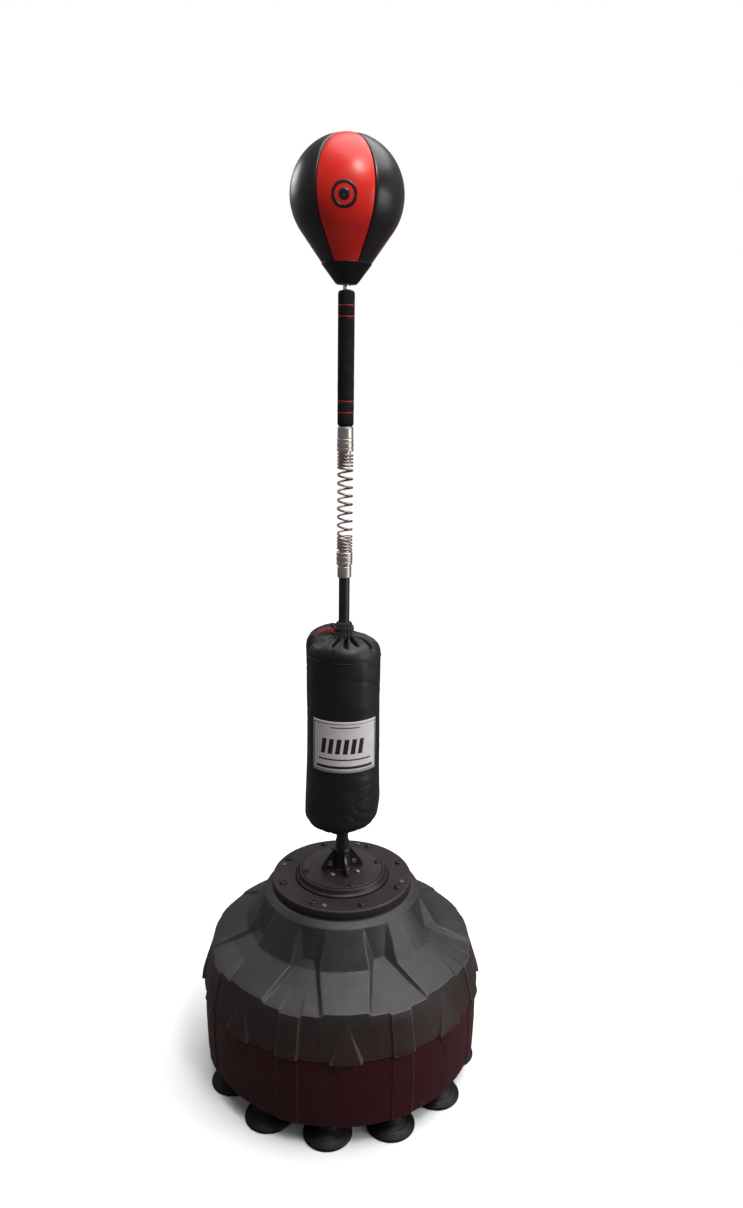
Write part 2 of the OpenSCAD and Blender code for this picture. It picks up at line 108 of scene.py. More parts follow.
def make_world():
    world = bpy.data.worlds.new("studio")
    bpy.context.scene.world = world
    world.use_nodes = True
    seen = world.node_tree.nodes["Background"]
    lit = world.node_tree.nodes.new("ShaderNodeBackground")
    for shade, colour, strength in ((seen, (1, 1, 1, 1), 1.0), (lit, (0.96, 0.97, 1, 1), 0.20)):
        shade.inputs["Color"].default_value = colour
        shade.inputs["Strength"].default_value = strength
    split_by_ray(world.node_tree, lit, seen, "World Output")


def make_stage():
    make_camera()
    make_world()
    make_lamp("sky_light", "SUN", (0.9, 0.3, 3.0), (0, 0, 0), 3.3, angle=math.radians(75))
    make_disc_lamp("key", (0.9, -1.5, 3.4), (0, 0, 1.2), 0.7, 34, colour=(1, 0.985, 0.96))
    make_disc_lamp("side", (2.3, -0.7, 1.0), (0, 0, 0.3), 2.2, 9, 80)
    make_disc_lamp("rim", (-1.8, 1.6, 2.6), (0, 0, 0.9), 1.0, 12, colour=(0.95, 0.97, 1))
    far = 9000
    floor = piece("floor", [(-far, -far, 0), (far, -far, 0), (far, far, 0), (-far, far, 0)], [(0, 1, 2, 3)])
    floor.data.materials.append(floor_paper())
    bpy.context.scene.view_settings.view_transform = "Standard"


# ---- Materials ----
class Surface:
    """A material: its principled shader, and textures placed in the object's own metres."""

    def __init__(self, name, roughness, metallic=0.0, specular=0.5, coat=0.0, sheen=0.0):
        self.material = bpy.data.materials.new(name)
        self.material.use_nodes = True
        self.nodes, self.links = self.material.node_tree.nodes, self.material.node_tree.links
        self.shader = self.nodes["Principled BSDF"]
        self.set(self.shader, {"Roughness": roughness, "Metallic": metallic, "Specular IOR Level": specular,
                               "Coat Weight": coat, "Coat Roughness": 0.25, "Sheen Weight": sheen})
        self.place = self.nodes.new("ShaderNodeTexCoord").outputs["Object"]
        self.normal = None

    def set(self, node, values):
        for socket, value in values.items():
            node.inputs[socket].default_value = value
        return node

    def texture(self, kind, scale, stretch, output, **values):
        mapping = self.set(self.nodes.new("ShaderNodeMapping"), {"Scale": stretch})
        node = self.set(self.nodes.new(kind), {"Scale": scale, **values})
        self.links.new(self.place, mapping.inputs["Vector"])
        self.links.new(mapping.outputs["Vector"], node.inputs["Vector"])
        return node.outputs[output]

    def noise(self, scale, detail=3.0, stretch=(1, 1, 1)):
        return self.texture("ShaderNodeTexNoise", scale, stretch, "Fac", Detail=detail)

    def cells(self, scale, stretch=(1, 1, 1)):
        return self.texture("ShaderNodeTexVoronoi", scale, stretch, "Distance")

    def height(self):
        node = self.nodes.new("ShaderNodeSeparateXYZ")
        self.links.new(self.place, node.inputs[0])
        return node.outputs["Z"]

    def attribute(self, name):
        node = self.nodes.new("ShaderNodeAttribute")
        node.attribute_name = name
        return node.outputs["Fac"]

    def levels(self, source, low, high, to_low, to_high):
        node = self.set(self.nodes.new("ShaderNodeMapRange"),
                        {"From Min": low, "From Max": high, "To Min": to_low, "To Max": to_high})
        self.links.new(source, node.inputs["Value"])
        return node.outputs["Result"]

    def mixed(self, source, dark, light):
        node = self.nodes.new("ShaderNodeMix")
        node.data_type = "RGBA"
        self.links.new(source, node.inputs["Factor"])
        for socket, value in ((node.inputs[6], dark), (node.inputs[7], light)):
            if isinstance(value, bpy.types.NodeSocket):
                self.links.new(value, socket)
            else:
                socket.default_value = (*value, 1)
        return node.outputs[2]

    def colour(self, source, dark, light, low=0.35, high=0.65):
        """Base colour that runs from dark to light as a texture does; more layers may follow."""
        self.base = self.mixed(self.levels(source, low, high, 0, 1), dark, light)
        self.links.new(self.base, self.shader.inputs["Base Color"])

    def over(self, source, light, low, high, share=1.0):
        """A second colour laid over the first where a texture is high."""
        self.base = self.mixed(self.levels(source, low, high, 0, share), self.base, light)
        self.links.new(self.base, self.shader.inputs["Base Color"])

    def rough(self, source, to_low, to_high, low=0.3, high=0.7):
        self.links.new(self.levels(source, low, high, to_low, to_high), self.shader.inputs["Roughness"])

    def bump(self, source, depth):
        """Raises the surface by a texture; depth is in millimetres, and calls add up."""
        node = self.set(self.nodes.new("ShaderNodeBump"), {"Strength": 1.0, "Distance": depth * MM})
        self.links.new(source, node.inputs["Height"])
        if self.normal is not None:
            self.links.new(self.normal, node.inputs["Normal"])
        self.normal = node.outputs["Normal"]
        self.links.new(self.normal, self.shader.inputs["Normal"])


def floor_paper():
    """Pale floor that throws little light back up, so that dark walls above it stay dark."""
    paint = Surface("floor_paper", 0.9, specular=0.0)
    paint.set(paint.shader, {"Base Color": (0.92, 0.92, 0.92, 1)})
    dull = paint.set(paint.nodes.new("ShaderNodeBsdfDiffuse"), {"Color": (0.10, 0.085, 0.085, 1)})
    split_by_ray(paint.material.node_tree, dull, paint.shader, "Material Output")
    return paint.material


def moulded_grain(skin, smooth, rough):
    skin.rough(skin.noise(35, 5), smooth, rough)
    skin.bump(skin.noise(1500, 2), 0.05)
    skin.bump(skin.noise(18, 3), 0.25)
    return skin.material


def moulded_plastic(name, dark, light, roughness, specular=0.35, light_tone=(0.16, 0.155, 0.15)):
    """Satin moulded plastic with a fine grain, and lighter edges: partly polished by handling, partly painted
    highlight.
    """
    skin = Surface(name, roughness, specular=specular)
    skin.colour(skin.noise(9, 4), dark, light)
    # Lighter convex edges: part wear, part painted highlight.
    skin.over(skin.attribute("edge_wear_and_highlight"), light_tone, 0.25, 0.9, 0.55)
    skin.over(skin.noise(60, 6), light_tone, 0.62, 0.78, 0.10)
    return moulded_grain(skin, roughness - 0.07, roughness + 0.09)


def tank_plastic():
    """Charcoal plastic, darker and browner down the skirt as painted shade and painted red reflection, dark
    red-brown below the ledge as painted red reflection, with lighter edges from wear and painted highlight.
    """
    skin = Surface("tank_plastic", 0.42, specular=0.35)
    skin.colour(skin.noise(9, 4), (0.019, 0.0175, 0.0175), (0.028, 0.026, 0.026))
    # Painted shade with a painted red reflection: darker, browner colour down the skirt.
    skin.over(skin.height(), (0.022, 0.0125, 0.0120), 0.300, 0.262)
    # Painted red reflection: dark red-brown below the ledge.
    skin.over(skin.height(), (0.030, 0.0030, 0.0044), 0.216, 0.206)
    # Lighter convex edges: part wear, part painted highlight.
    skin.over(skin.attribute("edge_wear_and_highlight"), (0.15, 0.135, 0.13), 0.3, 1.0, 0.42)
    skin.over(skin.noise(60, 6), (0.17, 0.16, 0.155), 0.62, 0.78, 0.08)
    return moulded_grain(skin, 0.36, 0.50)


def black_rubber(name, dark, light, roughness, specular=0.4):
    skin = Surface(name, roughness, specular=specular)
    skin.colour(skin.noise(30, 5), dark, light)
    skin.over(skin.noise(7, 6), (0.10, 0.095, 0.09), 0.58, 0.75, 0.18)
    skin.rough(skin.noise(60, 4), roughness - 0.08, roughness + 0.14)
    skin.bump(skin.noise(900, 2), 0.04)
    return skin.material


def grained_vinyl(name, dark, light, roughness, grain, coat=0.0, specular=0.5, depth=0.10):
    """Coated fabric or leather: a pebbled grain, soft creases, and gloss that varies with handling."""
    skin = Surface(name, roughness, specular=specular, coat=coat)
    skin.colour(skin.noise(14, 4), dark, light)
    skin.rough(skin.noise(22, 5), roughness - 0.07, roughness + 0.1)
    skin.bump(skin.cells(grain), depth)
    skin.bump(skin.noise(grain * 2.5, 3), depth * 0.5)
    skin.bump(skin.noise(45, 3), 0.25)
    return skin.material


def brushed_metal(name, dark, light, roughness):
    """Plated or bare metal with fine turning marks round it."""
    skin = Surface(name, roughness, metallic=1.0)
    skin.colour(skin.noise(25, 4), dark, light)
    skin.rough(skin.noise(1500, 2, (1, 1, 0.04)), roughness - 0.08, roughness + 0.12)
    skin.bump(skin.noise(1500, 2, (1, 1, 0.04)), 0.015)
    return skin.material


def gloss_paint(name, dark, light, roughness, specular=0.5):
    """Powder coat on steel, with a slight orange peel."""
    skin = Surface(name, roughness, specular=specular, coat=0.2)
    skin.colour(skin.noise(40, 4), dark, light)
    skin.over(skin.noise(90, 6), (0.2, 0.19, 0.18), 0.68, 0.8, 0.25)
    skin.rough(skin.noise(50, 4), roughness - 0.06, roughness + 0.1)
    skin.bump(skin.noise(380, 2), 0.05)
    return skin.material


def woven_cloth(name, dark, light):
    """Plain woven tape or cord: threads that cross."""
    skin = Surface(name, 0.85, specular=0.25, sheen=0.25)
    threads_per_metre = 1 / (1.1 * MM) / 20
    threads, cross = (skin.texture("ShaderNodeTexWave", threads_per_metre, stretch, "Fac", Distortion=0.4)
                      for stretch in ((1, 1, 1), (0.2, 0.2, 1)))
    skin.colour(threads, dark, light, 0.1, 0.9)
    skin.rough(cross, 0.75, 0.85)
    skin.bump(threads, 0.12)
    skin.bump(cross, 0.12)
    return skin.material


def foam_rubber(name, dark, light):
    """Closed-cell foam: matt, with a pitted surface."""
    skin = Surface(name, 0.8, specular=0.22)
    skin.colour(skin.noise(50, 5), dark, light)
    skin.rough(skin.noise(80, 4), 0.7, 0.9)
    skin.bump(skin.cells(1100), 0.16)
    skin.bump(skin.noise(70, 4), 0.3)
    return skin.material


def make_materials():
    """One material for each of the record's slots."""
    recipes = {
        # Hub and ring: black plastic, tinted red as a painted red reflection.
        "hub_plastic": (moulded_plastic, (0.010, 0.0075, 0.0075), (0.015, 0.011, 0.011), 0.42, 0.3),
        "ring_plastic": (moulded_plastic, (0.015, 0.0095, 0.0100), (0.022, 0.015, 0.0155), 0.5, 0.3),
        "insert_plastic": (moulded_plastic, (0.05, 0.05, 0.05), (0.07, 0.07, 0.07), 0.5),
        "cap_plastic": (moulded_plastic, (0.010, 0.010, 0.010), (0.016, 0.016, 0.016), 0.38),
        # Last value: colour of the lighter edges, part wear and part painted highlight.
        "cup_black": (moulded_plastic, (0.006, 0.0055, 0.0055), (0.010, 0.009, 0.009), 0.35, 0.35,
                      (0.03, 0.028, 0.028)),
        "cup_rubber": (black_rubber, (0.0045, 0.0040, 0.0042), (0.008, 0.0075, 0.0078), 0.5, 0.25),
        "seal_rubber": (black_rubber, (0.12, 0.01, 0.01), (0.16, 0.015, 0.015), 0.5),
        "ball_rubber": (black_rubber, (0.010, 0.009, 0.009), (0.016, 0.015, 0.015), 0.7),
        "red_rings": (black_rubber, (0.28, 0.006, 0.010), (0.36, 0.010, 0.014), 0.45),
        "bag_vinyl": (grained_vinyl, (0.0045, 0.0036, 0.0034), (0.008, 0.0062, 0.0058), 0.44, 520, 0.0, 0.42),
        "neck_fabric": (woven_cloth, (0.004, 0.004, 0.004), (0.011, 0.010, 0.010)),
        "bag_filling": (foam_rubber, (0.45, 0.42, 0.36), (0.55, 0.52, 0.45)),
        "label_print": (grained_vinyl, (0.56, 0.54, 0.535), (0.64, 0.62, 0.615), 0.5, 900, 0.0, 0.5, 0.03),
        "red_tape": (woven_cloth, (0.26, 0.010, 0.018), (0.42, 0.03, 0.045)),
        "nickel": (brushed_metal, (0.52, 0.47, 0.43), (0.66, 0.61, 0.56), 0.34),
        "spring_steel": (brushed_metal, (0.30, 0.225, 0.215), (0.44, 0.35, 0.33), 0.36),
        "zinc_steel": (brushed_metal, (0.45, 0.45, 0.46), (0.58, 0.58, 0.60), 0.38),
        "bright_bolts": (brushed_metal, (0.20, 0.20, 0.20), (0.28, 0.275, 0.275), 0.42),
        "tube_aluminium": (brushed_metal, (0.5, 0.5, 0.52), (0.6, 0.6, 0.62), 0.35),
        "chrome": (brushed_metal, (0.86, 0.86, 0.87), (0.92, 0.92, 0.93), 0.24),
        "black_bolts": (gloss_paint, (0.005, 0.0045, 0.0045), (0.008, 0.007, 0.007), 0.5, 0.25),
        "grey_bolts": (gloss_paint, (0.05, 0.048, 0.048), (0.08, 0.075, 0.075), 0.35),
        # Plate: black paint, tinted red as a painted red reflection.
        "plate_steel": (gloss_paint, (0.015, 0.0095, 0.0100), (0.021, 0.0135, 0.0140), 0.42),
        "mast_paint": (gloss_paint, (0.0065, 0.0055, 0.0055), (0.011, 0.009, 0.009), 0.3),
        "grip_foam": (foam_rubber, (0.0055, 0.0048, 0.0050), (0.009, 0.008, 0.008)),
        "ball_red": (grained_vinyl, (0.70, 0.016, 0.008), (0.84, 0.026, 0.013), 0.35, 620, 0.15, 0.4, 0.05),
        "ball_black": (grained_vinyl, (0.0065, 0.006, 0.006), (0.010, 0.009, 0.009), 0.34, 620, 0.25, 0.5,
                       0.05),
    }
    made = {name: recipe(name, *values) for name, (recipe, *values) in recipes.items()}
    return {"tank_plastic": tank_plastic(), **made}


# ---- Mesh building ----
def rework(mesh, *changes):
    """Makes bmesh changes to a mesh, and turns its faces outward."""
    work = bmesh.new()
    work.from_mesh(mesh)
    for change in changes:
        change(work)
    bmesh.ops.recalc_face_normals(work, faces=work.faces)
    work.to_mesh(mesh)
    work.free()


def piece(name, points, faces):
    """A mesh object from points in millimetres, with its faces turned outward."""
    mesh = bpy.data.meshes.new(name)
    mesh.from_pydata((np.asarray(points, float) * MM).tolist(), [], faces)
    rework(mesh)
    mesh.polygons.foreach_set("use_smooth", [True] * len(mesh.polygons))
    return add_object(name, mesh)


def around(angle, radius, height):
    """A point, or arrays of points, at an angle round the mast."""
    turn = np.radians(angle)
    return np.stack(np.broadcast_arrays(radius * np.sin(turn), -radius * np.cos(turn), height), -1)


def steps_round(count):
    """Angles in equal steps over a full turn, as one row."""
    return np.arange(count)[None] * 360 / count


def grid_faces(rows, cols, wrap, start=0):
    last = cols if wrap else cols - 1
    return [(start + i * cols + j, start + i * cols + (j + 1) % cols,
             start + (i + 1) * cols + (j + 1) % cols, start + (i + 1) * cols + j)
            for i in range(rows - 1) for j in range(last)]


def sheet_piece(name, grid, wrap=True, caps=(False, False)):
    """A surface through a grid of points; caps close its first and last rows to a middle point."""
    rows, cols = grid.shape[:2]
    points, faces = list(grid.reshape(-1, 3)), grid_faces(rows, cols, wrap)
    for row, closed in zip((0, rows - 1), caps):
        if closed:
            points.append(grid[row].mean(0))
            faces += [(row * cols + j, row * cols + (j + 1) % cols, len(points) - 1) for j in range(cols)]
    return piece(name, points, faces)


def bezier(a, b, c, t):
    return a * (1 - t) ** 2 + 2 * b * t * (1 - t) + c * t * t


def rounded(outline, radius, steps=3):
    """An outline with its corners rounded, and a point just past each round to keep flats flat."""
    line = [np.array(p, float) for p in outline]
    out = [line[0]]
    for before, corner, after in zip(line, line[1:], line[2:]):
        back, on = before - corner, after - corner
        cut = min(radius, 0.42 * np.linalg.norm(back), 0.42 * np.linalg.norm(on))
        back, on = back / np.linalg.norm(back), on / np.linalg.norm(on)
        start, end = corner + back * cut, corner + on * cut
        out.append(corner + back * cut * 1.15)
        out += [bezier(start, corner, end, k / steps) for k in range(steps + 1)]
        out.append(corner + on * cut * 1.15)
    return out + [line[-1]]


def turned(name, outline, radius=0.8, sides=72, centre=(0, 0)):
    """A turned piece: its outline of (radius, height) pairs spun round the mast or a centre."""
    line = np.array(rounded(outline, radius) if radius else outline, float)
    closed = [line[0][0] < 1e-6, line[-1][0] < 1e-6]
    line = line[1 if closed[0] else 0:len(line) - 1 if closed[1] else len(line)]
    grid = around(steps_round(sides), line[:, :1], line[:, 1:])
    return sheet_piece(name, grid + [*centre, 0], caps=closed)


def outline_normals(line):
    tangent = np.gradient(line, axis=0)
    normal = np.stack([tangent[:, 1], -tangent[:, 0]], 1)
    return normal / np.linalg.norm(normal, axis=1, keepdims=True)


def spread(line, angle):
    """Radius and height of an outline's points, repeated at each angle."""
    return line[:, :1] + 0 * angle, line[:, 1:] + 0 * angle


def ring_rows(angle, rows):
    """A grid with one ring of points for each (radius or radii, height)."""
    return np.concatenate([around(angle, r + 0 * angle, z) for r, z in rows])


def ring_outline(bore, outer, low, high):
    """Closed outline of a plain ring, which starts and ends in the middle of its bore."""
    middle = (low + high) / 2
    return [(bore, middle), (bore, low), (outer, low), (outer, high), (bore, high), (bore, middle)]


def weld(made):
    rework(made.data, lambda work: bmesh.ops.remove_doubles(work, verts=work.verts, dist=0.001 * MM))
    return made


def evaluated_mesh(made):
    return bpy.data.meshes.new_from_object(made.evaluated_get(bpy.context.evaluated_depsgraph_get()))


def apply_modifiers(made):
    """Replaces an object's mesh by what its modifiers make of it."""
    mesh = evaluated_mesh(made)
    made.modifiers.clear()
    made.data = mesh
    return made


def subdivide(made):
    modifier = made.modifiers.new("smooth", "SUBSURF")
    modifier.levels = modifier.render_levels = 1
    return apply_modifiers(made)


def close_ends(work):
    """Fills the open rims of a bmesh with a fan of faces each."""
    rims = [e for e in work.edges if e.is_boundary]
    bmesh.ops.poke(work, faces=bmesh.ops.holes_fill(work, edges=rims, sides=0)["faces"])


def thicken(made, thickness, offset=-1.0):
    modifier = made.modifiers.new("thickness", "SOLIDIFY")
    modifier.thickness, modifier.offset = thickness * MM, offset
    return apply_modifiers(made)


def cut_by(made, cutter):
    modifier = made.modifiers.new("cut", "BOOLEAN")
    modifier.operation, modifier.solver, modifier.object = "DIFFERENCE", "MANIFOLD", cutter
    apply_modifiers(made)
    bpy.data.objects.remove(cutter)
    made.data.polygons.foreach_set("use_smooth", [True] * len(made.data.polygons))
    return made


def merged(name, meshes):
    """One object made of several meshes."""
    work = bmesh.new()
    for mesh in meshes:
        work.from_mesh(mesh)
    whole = bpy.data.meshes.new(name)
    work.to_mesh(whole)
    work.free()
    return add_object(name, whole)


def joined(name, pieces):
    """Several objects as one."""
    meshes = [p.data for p in pieces]
    for p in pieces:
        p.data.transform(p.matrix_world)
        bpy.data.objects.remove(p)
    return merged(name, meshes)


def copies(name, source, matrices):
    """One object that holds a copy of source at each place."""
    meshes = [source.data.copy() for _ in matrices]
    for mesh, matrix in zip(meshes, matrices):
        mesh.transform(matrix)
    bpy.data.objects.remove(source)
    return merged(name, meshes)


def place_at(angle, radius, height, own_turn=0.0):
    """The matrix of a place at an angle round the mast, turned by that angle and its own."""
    return (Matrix.Translation(around(angle, radius, height) * MM)
            @ Matrix.Rotation(math.radians(angle + own_turn), 4, "Z"))


def ring_places(count, radius, turn, height, own_turn=0.0):
    """Matrices for equal steps round the mast."""
    return [place_at(turn + i * 360 / count, radius, height, own_turn) for i in range(count)]


def mark_edge_wear_and_highlight(made, reach=1.0):
    """Stores how sharply each point of a mesh stands out, for the lighter edges of a material: part wear, part
    painted highlight.
    """
    mesh = made.data
    count = len(mesh.vertices)
    at, normal = np.empty(count * 3), np.empty(count * 3)
    mesh.vertices.foreach_get("co", at)
    mesh.vertices.foreach_get("normal", normal)
    at, normal = at.reshape(-1, 3), normal.reshape(-1, 3)
    ends = np.empty(len(mesh.edges) * 2, int)
    mesh.edges.foreach_get("vertices", ends)
    a, b = ends.reshape(-1, 2).T
    bend, near = np.zeros(count), np.zeros(count)
    for p, q in ((a, b), (b, a)):
        step = at[q] - at[p]
        length = np.linalg.norm(step, axis=1) + 1e-9
        np.add.at(bend, p, -(step * normal[p]).sum(1) / length)
        np.add.at(near, p, 1)
    # Convexity that the materials paint lighter: part wear, part painted highlight.
    edge_wear_and_highlight = np.clip(bend / np.maximum(near, 1) * 5 * reach, 0, 1)
    layer = mesh.attributes.new("edge_wear_and_highlight", "FLOAT", "POINT")
    layer.data.foreach_set("value", edge_wear_and_highlight.astype(np.float32))
    return made


def extent(node):
    """(lowest z, highest z, outer radius) of a CAD node, in millimetres."""
    low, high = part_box(node)
    return low.z / MM, high.z / MM, (high.x - low.x) / 2 / MM


def finish_piece(made, body, slot, *nodes):
    """Gives a piece its material, the body it rides on, and the CAD nodes it stands for."""
    made.data.materials.clear()
    made.data.materials.append(MATERIALS[slot])
    if nodes:
        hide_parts(*nodes)
    if body:
        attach(made, body)
    return made


# ---- Ballast tank ----
PANEL_COUNT, PATTERN_TURN, RELIEF = 8, 3.7, 6.0
SECTOR = 360 / PANEL_COUNT
LEDGE_R, LEDGE_Z, FOOT_R, UNDERSIDE = 300.5, 209.0, 296.0, 52.0
PILASTER_FOOT, PILASTER_EDGE, ARROW_HALF = 5.0, 4.25, 5.8
# Panel radius and height, valley radius and height, half widths of the panel's face and foot
DOME = [
    (152.5, 415.4, 152.5, 415.4, 12, 14.5),
    (165.5, 406.6, 165.5, 406.6, 12.2, 14.5),
    (186, 372.5, 174.4, 378, 13, 16),
    (200, 349.5, 185.5, 344.5, 13.7, 18.8),
    (207, 338, 199, 333, 13.8, 16.6),
    (240, 319, 236.5, 312, 11.3, 13.1),
    (279, 297, 281, 291.5, 8.9, 10.3)]


def mix(a, b, t):
    return a + (b - a) * t


def dome_row(station, last=False):
    """Nine (angle, radius, height) points from a panel's middle to a valley's middle."""
    panel_r, panel_z, valley_r, valley_z, face, foot = station
    angles = [0, face / 2, face] + [mix(foot, SECTOR / 2, t) for t in (0, 0.3, 0.5, 0.596, 0.651, 1)]
    row = []
    for column, angle in enumerate(angles):
        r, z = (panel_r, panel_z) if column < 3 else (valley_r, valley_z)
        push = RELIEF * 0.6 if last and column > 6 else 0
        row.append((angle, r + push, z - push * 0.8))
    return row


def arrow_share(t):
    """How far the arrowhead has grown, t of the way down the skirt; its tip is a little below the rim."""
    return max(0.0, (t - 0.16) / 0.84)


def skirt_angles(t):
    half, arrow = SECTOR / 2, arrow_share(t)
    return [0, mix(0.12, ARROW_HALF, arrow), mix(0.5, ARROW_HALF + 0.9, arrow), mix(10.3, 9, t), 13, 16,
            half - PILASTER_FOOT, half - PILASTER_EDGE, half]


def skirt_row(t):
    """Between the dome's rim, t = 0, and the ledge, t = 1: an arrowhead and a pilaster stand out."""
    rim, row = dome_row(DOME[-1], True), []
    for column, angle in enumerate(skirt_angles(t)):
        arrow, pilaster = column < 2, column > 6
        r = mix(rim[column][1] - (RELIEF * 0.6 if pilaster else 0), LEDGE_R, t)
        z = mix(rim[column][2], LEDGE_Z - (3 if arrow or pilaster else 0), t)
        row.append((angle, r + RELIEF * (arrow_share(t) if arrow else 0.9 if pilaster else 0), z))
    return row


def wall_row(radius, height, arrow):
    """Below the ledge: the arrow runs to a point, and the pilasters go on to the foot."""
    angles = skirt_angles(1)
    angles[1], angles[2] = max(0.3, ARROW_HALF * arrow), max(1.2, (ARROW_HALF + 0.9) * arrow)
    proud = [RELIEF * 0.7 * arrow] * 2 + [0] * 5 + [2.4] * 2
    return [(a, radius + p, height) for a, p in zip(angles, proud)]


def tank_rows():
    rows = [[(a, r, DOME[0][1]) for a, _, _ in dome_row(DOME[0])] for r in (20, 120, 148)]
    rows += [dome_row(s, s is DOME[-1]) for s in DOME]
    rows += [skirt_row(t) for t in (0.16, 0.55, 1)]
    rows += [wall_row(LEDGE_R - 4.5, LEDGE_Z - 7, 0.8), wall_row(FOOT_R + 2.6, 150, 0),
             wall_row(FOOT_R + 1.5, 100, 0), wall_row(FOOT_R, UNDERSIDE + 6, 0),
             wall_row(FOOT_R - 4.5, UNDERSIDE, 0)]
    rows += [[(a, r, UNDERSIDE) for a, _, _ in wall_row(0, 0, 0)] for r in (270, 150, 20)]
    full = []
    for half in rows:
        there = half + [(SECTOR - a, r, z) for a, r, z in reversed(half[1:-1])]
        full.append([(PATTERN_TURN + SECTOR * k + a, r, z) for k in range(PANEL_COUNT) for a, r, z in there])
    return np.array(full)


def around_polar(grid):
    return around(*np.moveaxis(grid, -1, 0))


def with_supports(grid, axis, soft):
    """Adds a line close to each side of every grid line, so that subdivision keeps a crisp round."""
    grid = np.moveaxis(grid, axis, 0)
    if axis == 1:  # the ring closes on itself after a full turn
        grid = np.concatenate([grid, grid[:1] + [360, 0, 0]])
    here, there = grid[:-1], grid[1:]
    length = np.linalg.norm(np.diff(around_polar(grid), axis=0), axis=-1, keepdims=True)
    share = np.clip(soft / np.maximum(length, 1e-6), 0.02, 0.33)
    lines = np.stack([here, mix(here, there, share), mix(here, there, 1 - share)], 1)
    out = lines.reshape(-1, *grid.shape[1:])
    if axis == 0:
        out = np.concatenate([out, grid[-1:]])
    return np.moveaxis(out, 0, axis)


def filler_matrix():
    """The filler neck's own frame: its mouth points along +Z."""
    return place_at(180 + PATTERN_TURN, 238, 320, -90) @ Matrix.Rotation(math.radians(30), 4, "Y")


def make_tank():
    polar = with_supports(with_supports(tank_rows(), 1, 2.2), 0, 2.0)
    shell = sheet_piece("tank_shell", around_polar(polar))
    rework(subdivide(shell).data, close_ends)
    bore = turned("filler_bore", [(0, -60), (20, -60), (20, 30), (0, 30)], 0, 64)
    bore.matrix_world = filler_matrix()
    finish_piece(mark_edge_wear_and_highlight(cut_by(shell, bore), 1.7), "base", "tank_plastic", "base_tank")
    neck = turned("filler_neck", [(20, -6), (20, 11), (24, 11), (24, -14), (20, -14), (20, -6)], 0.7, 72)
    neck.matrix_world = filler_matrix()
    ridge = thread("filler_thread", 23.7, 0.6, 2.2, 3.6, 3.4, 8, 60)
    ridge.matrix_world = filler_matrix()
    finish_piece(mark_edge_wear_and_highlight(joined("filler_neck_threaded", [neck, ridge])), "base", "tank_plastic")


def wound_wire(name, angle, radius, wire, height, sides):
    """A wire wound round the Z axis, with closed ends."""
    k = np.radians(steps_round(sides))
    return sheet_piece(name, around(angle, radius + wire * np.cos(k), height + wire * np.sin(k)),
                       caps=(True, True))


def thread(name, radius, wire, turns, pitch, low, sides, per_turn):
    """The raised helix of a screw thread."""
    n = np.arange(int(turns * per_turn) + 1)[:, None] / per_turn
    return wound_wire(name, 360 * n, radius, wire, low + pitch * n, sides)


def make_filler_cap():
    """Screw cap with finger grips round it and a dished top."""
    corners = [(0, 12.8), (17, 12.8), (20.5, 15), (25.6, 15), (27.6, 13), (27.6, 3.4), (24.6, 3.4),
               (24.6, 11), (0, 11)]
    outline = np.array(rounded(corners, 0.9))[1:-1]
    angle = steps_round(240)
    grips = np.clip(np.cos(np.radians(angle * 12)) * 1.6, -1, 1) * 0.5 + 0.5
    on_side = np.clip((outline[:, :1] - 25.8) / 1.4, 0, 1) * np.clip((14.4 - outline[:, 1:]) / 1.2, 0, 1)
    grid = around(angle, outline[:, :1] + 2.2 * grips * on_side, outline[:, 1:])
    cap = sheet_piece("screw_cap", grid, caps=(True, True))
    cap.data.transform(filler_matrix())
    finish_piece(mark_edge_wear_and_highlight(cap), "filler_cap", "cap_plastic", "filler_cap")


# ---- Suction cups ----
def make_suction_cups():
    """Domed bells with moulded rings, each with a flanged neck up to the tank."""
    outline = [(0, 13), (14, 12), (30, 6.6), (43, 1.2), (45, 0), (48.6, 0), (50.2, 1.6), (50, 4), (48.4, 6.6),
               (45.6, 9.0), (44.8, 8.8), (41.4, 11.6), (36, 14.9), (35.2, 14.7), (30.6, 17.6), (26, 20.8),
               (25.2, 20.8), (21.6, 24.4), (18.6, 28.6), (16.8, 32.4), (16.2, 36), (18.4, 37), (18.4, 41.3),
               (0, 41.3)]
    for i in range(1, 13):
        node = f"suction_cup_{i:02d}"
        low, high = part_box(node)
        centre = ((low.x + high.x) / 2 / MM, (low.y + high.y) / 2 / MM)
        cup = turned(f"cup_bell_{i:02d}", outline, 1.1, 60, centre)
        finish_piece(mark_edge_wear_and_highlight(cup), "base", "cup_rubber", node)


# ---- Mast foot: hub, ring, plate, socket and fasteners ----
def button_bolt(name, radius, height, socket, washer=0.0):
    """Round-headed bolt with a hexagon socket, standing on z = 0, with a washer under it if asked."""
    angle = steps_round(48)
    hexagon = socket / np.cos(np.radians((angle + 30) % 60 - 30))
    head = ((1, 0), (1, 0.3), (0.97, 0.48), (0.88, 0.72), (0.74, 0.9), (0.6, 0.985), (0.52, 1))
    hole = ((1.08, 1.0), (1.0, 0.97), (1.0, 0.35), (0.6, 0.3))
    rise = 1.2 if washer else 0.0
    rows = []
    if washer:
        disc = rounded([(0, 0), (washer, 0), (washer, rise), (0, rise)], 0.3, 2)[1:-1]
        rows = [(max(r, radius * 0.9), z) for r, z in disc]
    rows += [(radius * r, rise + height * z) for r, z in head]
    rows += [(hexagon * r, rise + height * z) for r, z in hole]
    return sheet_piece(name, ring_rows(angle, rows), caps=(True, True))


